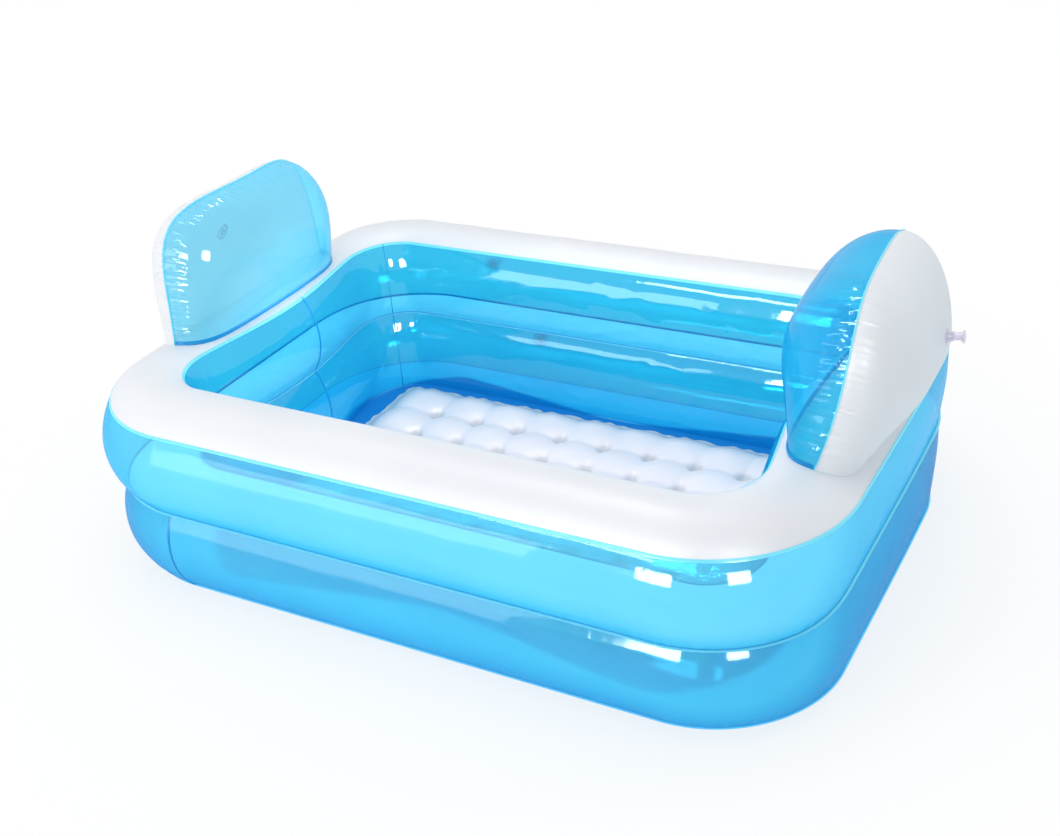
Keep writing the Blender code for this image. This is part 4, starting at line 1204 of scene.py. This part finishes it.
class POOL_OT_backrests(bpy.types.Operator):
    """Two inflated backrests with their welds and base flanges"""

    bl_idname = "pool.backrests"
    bl_label = "Backrests"

    def execute(self, context):
        for side, end in ((-1, "left"), (1, "right")):
            backrest = end + "_backrest"
            # The front films take the lit left and the shaded right copies of the blue film
            front = backrest_sheet(context, backrest + "_front_film", side, -1,
                                   backrest + "_blue_vinyl")
            back = backrest_sheet(context, backrest + "_back_film", side, 1, "white_vinyl")
            settle(front, "blue_film", backrest + "_front")
            settle(back, "white_film", backrest + "_back")
            settle(backrest_fin(context, backrest + "_weld", side), "blue_film")
            settle(base_flange(context, backrest + "_front_flange", side, -1), "blue_film")
        return {"FINISHED"}


# Air valves, each in its own frame: +Z out of the film, -X to the plug's strap

def valve_frame(valve):
    """Placement of a valve with its origin on the film, from the axes and the place of its joints."""
    joints = {joint["name"]: joint for joint in frame["joints"]}
    swing = joints[valve + "_plug_swing"]
    out = -Vector(joints[valve + "_push"]["axis"]).normalized()
    across = -Vector(swing["axis"]).normalized()
    along = across.cross(out)
    origin = Vector(swing["pos_m"]) + along * HINGE_OFFSET - out * (VALVES[valve].height - HINGE_DROP)
    place = Matrix((along, across, out)).transposed().to_4x4()
    place.translation = origin
    return place


def rounded(profile, radius, steps=4):
    """Profile of (radius, height) corners with each corner between two straights rounded off."""
    points = np.array(profile, float)
    found = []
    for k in range(len(points)):
        before, corner, after = points[k - 1], points[k], points[(k + 1) % len(points)]
        if corner[0] < 1e-6:
            found.append(corner)
            continue
        reach = min(radius, 0.45 * np.linalg.norm(before - corner), 0.45 * np.linalg.norm(after - corner))
        start = corner + unit(before - corner) * reach
        end = corner + unit(after - corner) * reach
        for share in np.linspace(0, 1, steps):
            found.append((1 - share) ** 2 * start + 2 * share * (1 - share) * corner + share ** 2 * end)
    return np.array(found)


def turned(profile, sides=48, centre=0.0):
    """Rings of points of a profile turned about an upright axis at x = centre, as (sides, corners, 3)."""
    angle = np.linspace(0, 2 * math.pi, sides, endpoint=False)[:, None]
    radius, height = profile[None, :, 0], profile[None, :, 1]
    return np.stack([centre + radius * np.cos(angle), radius * np.sin(angle), height + 0 * angle], -1)


def turned_faces(rings):
    """Quads round a turned profile, and triangles where a corner lies on the axis."""
    sides, corners = rings.shape[:2]
    index = np.arange(sides * corners).reshape(sides, corners)
    on_axis = np.linalg.norm(rings[0, :, :2] - rings[:, :, :2].mean(0), axis=1) < 1e-7
    squares, triangles = [], []
    for here, there in zip(index, np.roll(index, -1, 0)):
        for k in range(corners):
            after = (k + 1) % corners
            if on_axis[k] and on_axis[after]:
                continue
            if on_axis[k]:
                triangles.append((index[0, k], there[after], here[after]))
            elif on_axis[after]:
                triangles.append((here[k], there[k], index[0, after]))
            else:
                squares.append((here[k], there[k], there[after], here[after]))
    return [np.array(block) for block in (squares, triangles) if block]


def valve_piece(context, name, place, rings, band=None):
    """One mesh from the rings of a turned profile and, where given, the sections of a flat band."""
    points, faces = rings.reshape(-1, 3), turned_faces(rings)
    if band is not None:
        faces += bar_faces(*band.shape[:2], start=len(points))
        points = np.concatenate([points, band.reshape(-1, 3)])
    points = points @ np.array(place.to_3x3()).T + np.array(place.translation)
    piece = mesh_piece(name, points, faces, film(context, "valve_vinyl_painted_glow"), np.zeros(len(points)),
                       sharp_degrees=55.0)
    tidy_mesh(piece)
    return piece


def tidy_mesh(piece):
    """Merge doubled points on a turning axis and turn all faces outwards."""
    shape = bmesh.new()
    shape.from_mesh(piece.data)
    bmesh.ops.remove_doubles(shape, verts=shape.verts, dist=1e-6)
    loose = [point for point in shape.verts if not point.link_faces]
    bmesh.ops.delete(shape, geom=loose, context="VERTS")
    bmesh.ops.recalc_face_normals(shape, faces=shape.faces)
    shape.to_mesh(piece.data)
    shape.free()


def strap_bar(points, thickness):
    """Flat band with rounded edges through (x, z) points, as sections of a bar."""
    points = np.array([(x, 0.0, z) for x, z in points])
    way = unit(np.gradient(points, axis=0))
    up = np.stack([-way[:, 2], 0 * way[:, 0], way[:, 0]], 1)
    across = np.array([0.0, 1.0, 0.0])
    outline = ((-1.0, 0.0), (-0.86, 0.9), (0.86, 0.9), (1.0, 0.0), (0.86, -0.9), (-0.86, -0.9))
    return np.stack([points + across * (side * LUG_WIDTH / 2) + up * (level * thickness / 2)
                     for side, level in outline], 1)


def skirt_profile(height):
    neck = STEM_RADIUS + STEM_CLEARANCE
    top, rise = neck + SKIRT_WALL, height - SKIRT_EDGE - SKIRT_FILLET_RISE
    cone = []
    for share in np.linspace(0.0, 1.0, 14)[1:-1]:
        wave = 0.00018 * math.sin(4 * math.pi * share) * (1 - share)
        radius = SKIRT_FILLET_RADIUS + (top - SKIRT_FILLET_RADIUS) * share ** 0.72 + wave
        cone.append((radius, SKIRT_EDGE + SKIRT_FILLET_RISE + rise * share))
    inside = []
    for share in np.linspace(1.0, 0.0, 9)[1:-1]:
        inside.append((SKIRT_MOUTH_RADIUS + (neck - SKIRT_MOUTH_RADIUS) * share ** 0.8, height * share))
    disc = [(SKIRT_MOUTH_RADIUS, 0.0), (SKIRT_RADIUS, 0.0), (SKIRT_RADIUS, SKIRT_EDGE * 0.8),
            (SKIRT_RADIUS - 0.0005, SKIRT_EDGE), (SKIRT_RADIUS - 0.0012, SKIRT_EDGE),
            (SKIRT_RADIUS - 0.0016, SKIRT_EDGE * 0.75), (SKIRT_RADIUS - 0.0022, SKIRT_EDGE * 0.75),
            (SKIRT_RADIUS - 0.0026, SKIRT_EDGE), (SKIRT_FILLET_RADIUS, SKIRT_EDGE + SKIRT_FILLET_RISE)]
    return rounded(disc + cone + [(top, height), (neck, height)] + inside, 0.0003, 3)


def stem_profile(height, tail):
    lip = height - STEM_LIP_THICKNESS
    return rounded([(STEM_BORE_RADIUS, -tail), (STEM_RADIUS, -tail), (STEM_RADIUS, lip - 0.0006),
                    (STEM_RADIUS + 0.0003, lip), (STEM_LIP_RADIUS, lip), (STEM_LIP_RADIUS, height),
                    (STEM_BORE_RADIUS + 0.0005, height), (STEM_BORE_RADIUS, height - 0.0006)], 0.0004)


def plug_profile(under):
    """Head with a dished top, and the insert that closes the stem."""
    top = under + PLUG_THICKNESS
    return rounded([(0.0, under - PLUG_INSERT_DEPTH), (PLUG_INSERT_TIP_RADIUS, under - PLUG_INSERT_DEPTH),
                    (PLUG_INSERT_RADIUS, under - PLUG_INSERT_DEPTH * 0.45), (PLUG_INSERT_RADIUS, under),
                    (PLUG_RADIUS - 0.0004, under), (PLUG_RADIUS, under + PLUG_THICKNESS * 0.35),
                    (PLUG_RADIUS, top - PLUG_EDGE), (PLUG_RADIUS - PLUG_EDGE, top),
                    (PLUG_RADIUS * 0.70, top), (PLUG_RADIUS * 0.62, top - 0.0006),
                    (PLUG_RADIUS * 0.2, top - 0.0007), (0.0, top - 0.0004)], 0.0004)


def flap_profile():
    return rounded([(0.0, -FLAP_THICKNESS), (FLAP_RADIUS, -FLAP_THICKNESS), (FLAP_RADIUS, 0.0),
                    (FLAP_RADIUS * 0.8, 0.0), (FLAP_RADIUS * 0.76, -0.0001), (0.0, -0.0001)], 0.00015)


def lug_band(height):
    """Short lug beside the stem's lip, which holds the strap."""
    top = height - HINGE_DROP - KNUCKLE_RADIUS - GAP
    return strap_bar([(-HINGE_OFFSET + GAP, top - 0.0007), (-HINGE_OFFSET + 0.0016, top - 0.0011),
                      (-STEM_RADIUS + 0.0009, top - 0.0013)], LUG_THICKNESS)


def plug_band(under):
    """Strap of the plug, curled round its hinge and running on under the head."""
    turns = np.linspace(-0.5 * math.pi, 0.5 * math.pi, 7)
    curl = [(-0.0003 - 0.0007 * math.cos(turn), under / 2 + 0.0002 + under / 2 * math.sin(turn))
            for turn in turns]
    return strap_bar(curl + [(0.0006, under + 0.0006), (0.0016, under + 0.0007),
                             (HINGE_OFFSET - PLUG_RADIUS + STRAP_OVERLAP, under + 0.0007)], STRAP_THICKNESS)


class POOL_OT_valves(bpy.types.Operator):
    """Moulded air valves: soft skirt, stem, plug with its strap, and check flap"""

    bl_idname = "pool.valves"
    bl_label = "Air valves"

    def execute(self, context):
        under = HINGE_DROP + GAP
        for valve, (height, tail, skirt_height) in VALVES.items():
            place = valve_frame(valve)
            rings = turned(skirt_profile(skirt_height))
            skirt = valve_piece(context, valve + "_skirt_moulding", place, rings)
            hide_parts(valve + "_skirt")
            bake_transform(skirt)
            hinge = place @ Matrix.Translation((-HINGE_OFFSET, 0.0, height - HINGE_DROP))
            flap_place = place @ Matrix.Translation((FLAP_RADIUS, 0.0, -tail - GAP))
            for part, slot, at, rings, band in (
                    ("_stem", "firm_vinyl", place, turned(stem_profile(height, tail)), lug_band(height)),
                    ("_plug", "firm_vinyl", hinge, turned(plug_profile(under), centre=HINGE_OFFSET),
                     plug_band(under)),
                    ("_flap", "soft_vinyl", flap_place, turned(flap_profile(), centre=-FLAP_RADIUS), None)):
                name = valve + part
                settle(valve_piece(context, name + "_moulding", at, rings, band), slot, name, body=name)
        return {"FINISHED"}


# Stage

def aimed(name, lamp, place, target):
    """Lamp object at a place, pointing at a target."""
    item = bpy.data.objects.new(name, lamp)
    bpy.context.scene.collection.objects.link(item)
    way = Vector(target) - Vector(place)
    item.matrix_world = Matrix.Translation(place) @ way.to_track_quat("-Z", "Y").to_matrix().to_4x4()
    return item


def soft_lamp(name, place, target, width, height, power):
    lamp = bpy.data.lights.new(name, "AREA")
    lamp.shape = "RECTANGLE"
    lamp.size, lamp.size_y = width, height
    lamp.energy = power
    return aimed(name, lamp, place, target)


def white_world(context):
    """White surroundings that light the pool softly and are seen as plain white."""
    world = bpy.data.worlds.new("studio_surroundings")
    context.scene.world = world
    world.use_nodes = True
    tree = world.node_tree
    tree.nodes.clear()
    out = add_node(tree, "ShaderNodeOutputWorld")
    rays = add_node(tree, "ShaderNodeLightPath").outputs
    seen = add_node(tree, "ShaderNodeBackground", (0, 200), Color=(1.0, 1.0, 1.0), Strength=1.0)
    light = add_node(tree, "ShaderNodeBackground", Color=(0.97, 0.985, 1.0),
                     Strength=context.scene.pool_stage.sky)
    mirrored = calculate(tree, (-400, 300), "MAXIMUM", rays["Is Camera Ray"], rays["Is Glossy Ray"])
    direct = calculate(tree, (-200, 300), "MAXIMUM", mirrored, rays["Is Transmission Ray"])
    feed(tree, out.inputs["Surface"], mix_shaders(tree, (200, 0), direct, light.outputs[0], seen.outputs[0]))


def floor_material(context):
    """Pale floor that keeps the shadow near the pool and fades to plain white far from it."""
    material, tree, out = new_material("studio_floor")
    where = add_node(tree, "ShaderNodeTexCoord").outputs["Object"]
    distance = add_node(tree, "ShaderNodeVectorMath")
    distance.operation = "LENGTH"
    tree.links.new(where, distance.inputs[0])
    away = ranged(tree, (-200, 200), distance.outputs["Value"], 0.8, 1.4, 0.74, 1.0)
    rays = add_node(tree, "ShaderNodeLightPath").outputs
    seen = calculate(tree, (0, 200), "MULTIPLY", away, rays["Is Camera Ray"])
    grain = add_node(tree, "ShaderNodeTexNoise", (-400, -200), Scale=60.0, Detail=3.0, Vector=where)
    rough = ranged(tree, (-200, -200), grain.outputs[0], 0.3, 0.7, 0.75, 0.9)
    floor = add_node(tree, "ShaderNodeBsdfPrincipled", Base_Color=context.scene.pool_stage.floor,
                     Specular_IOR_Level=0.1, Roughness=rough)
    white = add_node(tree, "ShaderNodeEmission", (0, -400), Color=(1.0, 1.0, 1.0), Strength=1.0)
    feed(tree, out, mix_shaders(tree, (400, 0), seen, floor.outputs[0], white.outputs[0]))
    return material


class POOL_OT_stage(bpy.types.Operator):
    """Plain pale floor, soft studio light and the camera"""

    bl_idname = "pool.stage"
    bl_label = "Stage"

    def execute(self, context):
        stage = context.scene.pool_stage
        turns = np.linspace(0, 2 * math.pi, 96, endpoint=False)
        rings = np.array([0.02, 0.8, 1.6, 3.2, 6.0])
        disc = np.stack([np.cos(turns)[:, None] * rings, np.sin(turns)[:, None] * rings,
                         np.full((len(turns), len(rings)), -0.0008)], -1)
        floor = shell_piece("studio_floor", disc, floor_material(context), loop=True, thickness=0.001)
        white_world(context)
        top = soft_lamp("top_lamp", (0.0, 0.0, 3.8), (0.0, 0.0, 0.0), 3.2, 3.2, stage.top)
        top.visible_glossy = False
        for k, x in enumerate((-0.42, 0.0, 0.42)):
            lamp = bpy.data.lights.new(f"fill_lamp_{k + 1}", "POINT")
            lamp.energy = stage.fill
            lamp.shadow_soft_size = 0.12
            aimed(lamp.name, lamp, (x, 0.0, 0.42), (x, 0.0, 0.0)).visible_glossy = False
        soft_lamp("key_lamp", (-2.6, -4.2, 1.1), (0.0, 0.0, 0.2), 2.0, 2.0, stage.key)
        for name, place, width, height, share in SOFTBOXES:
            power = stage.boxes * math.pi * width * height * share
            soft_lamp(name, place, BOX_TARGET, width, height, power).visible_diffuse = False
        camera = bpy.data.cameras.new("photo_camera")
        camera.sensor_width = 36.0
        camera.sensor_fit = "HORIZONTAL"
        camera.lens = CAMERA_LENS
        camera.clip_start, camera.clip_end = 0.05, 50.0
        view = bpy.data.objects.new("photo_camera", camera)
        context.scene.collection.objects.link(view)
        axes = Matrix((CAMERA_RIGHT, CAMERA_UP, [-c for c in CAMERA_WAY])).transposed().to_4x4()
        axes.translation = CAMERA_PLACE
        view.matrix_world = axes
        context.scene.camera = view
        context.scene.view_settings.view_transform = "Standard"
        return {"FINISHED"}


class POOL_PT_sidebar(bpy.types.Panel):
    """Lists the pieces of the pool in the order they are built."""

    bl_idname = "POOL_PT_sidebar"
    bl_label = "Inflatable Pool"
    bl_space_type = "VIEW_3D"
    bl_region_type = "UI"
    bl_category = "Pool"

    def draw(self, context):
        for group in (context.scene.pool_sizes, context.scene.pool_colours, context.scene.pool_stage):
            column = self.layout.column()
            for name in type(group).__annotations__:
                column.prop(group, name)
        for operator in OPERATORS:
            self.layout.operator(operator.bl_idname)


GROUPS = (("pool_sizes", PoolSizes), ("pool_colours", PoolColours), ("pool_stage", PoolStage))
OPERATORS = (POOL_OT_stage, POOL_OT_floor, POOL_OT_rings, POOL_OT_rim, POOL_OT_welds, POOL_OT_mat,
             POOL_OT_backrests, POOL_OT_valves)


def register():
    for name, group in GROUPS:
        bpy.utils.register_class(group)
        setattr(bpy.types.Scene, name, PointerProperty(type=group))
    for item in OPERATORS + (POOL_PT_sidebar,):
        bpy.utils.register_class(item)


def unregister():
    for item in reversed(OPERATORS + (POOL_PT_sidebar,)):
        bpy.utils.unregister_class(item)
    for name, group in reversed(GROUPS):
        delattr(bpy.types.Scene, name)
        bpy.utils.unregister_class(group)


def main():
    register()
    bpy.ops.pool.stage()
    bpy.ops.pool.floor()
    bpy.ops.pool.rings()
    bpy.ops.pool.rim()
    bpy.ops.pool.welds()
    bpy.ops.pool.mat()
    bpy.ops.pool.backrests()
    bpy.ops.pool.valves()


if __name__ == "__main__":
    main()
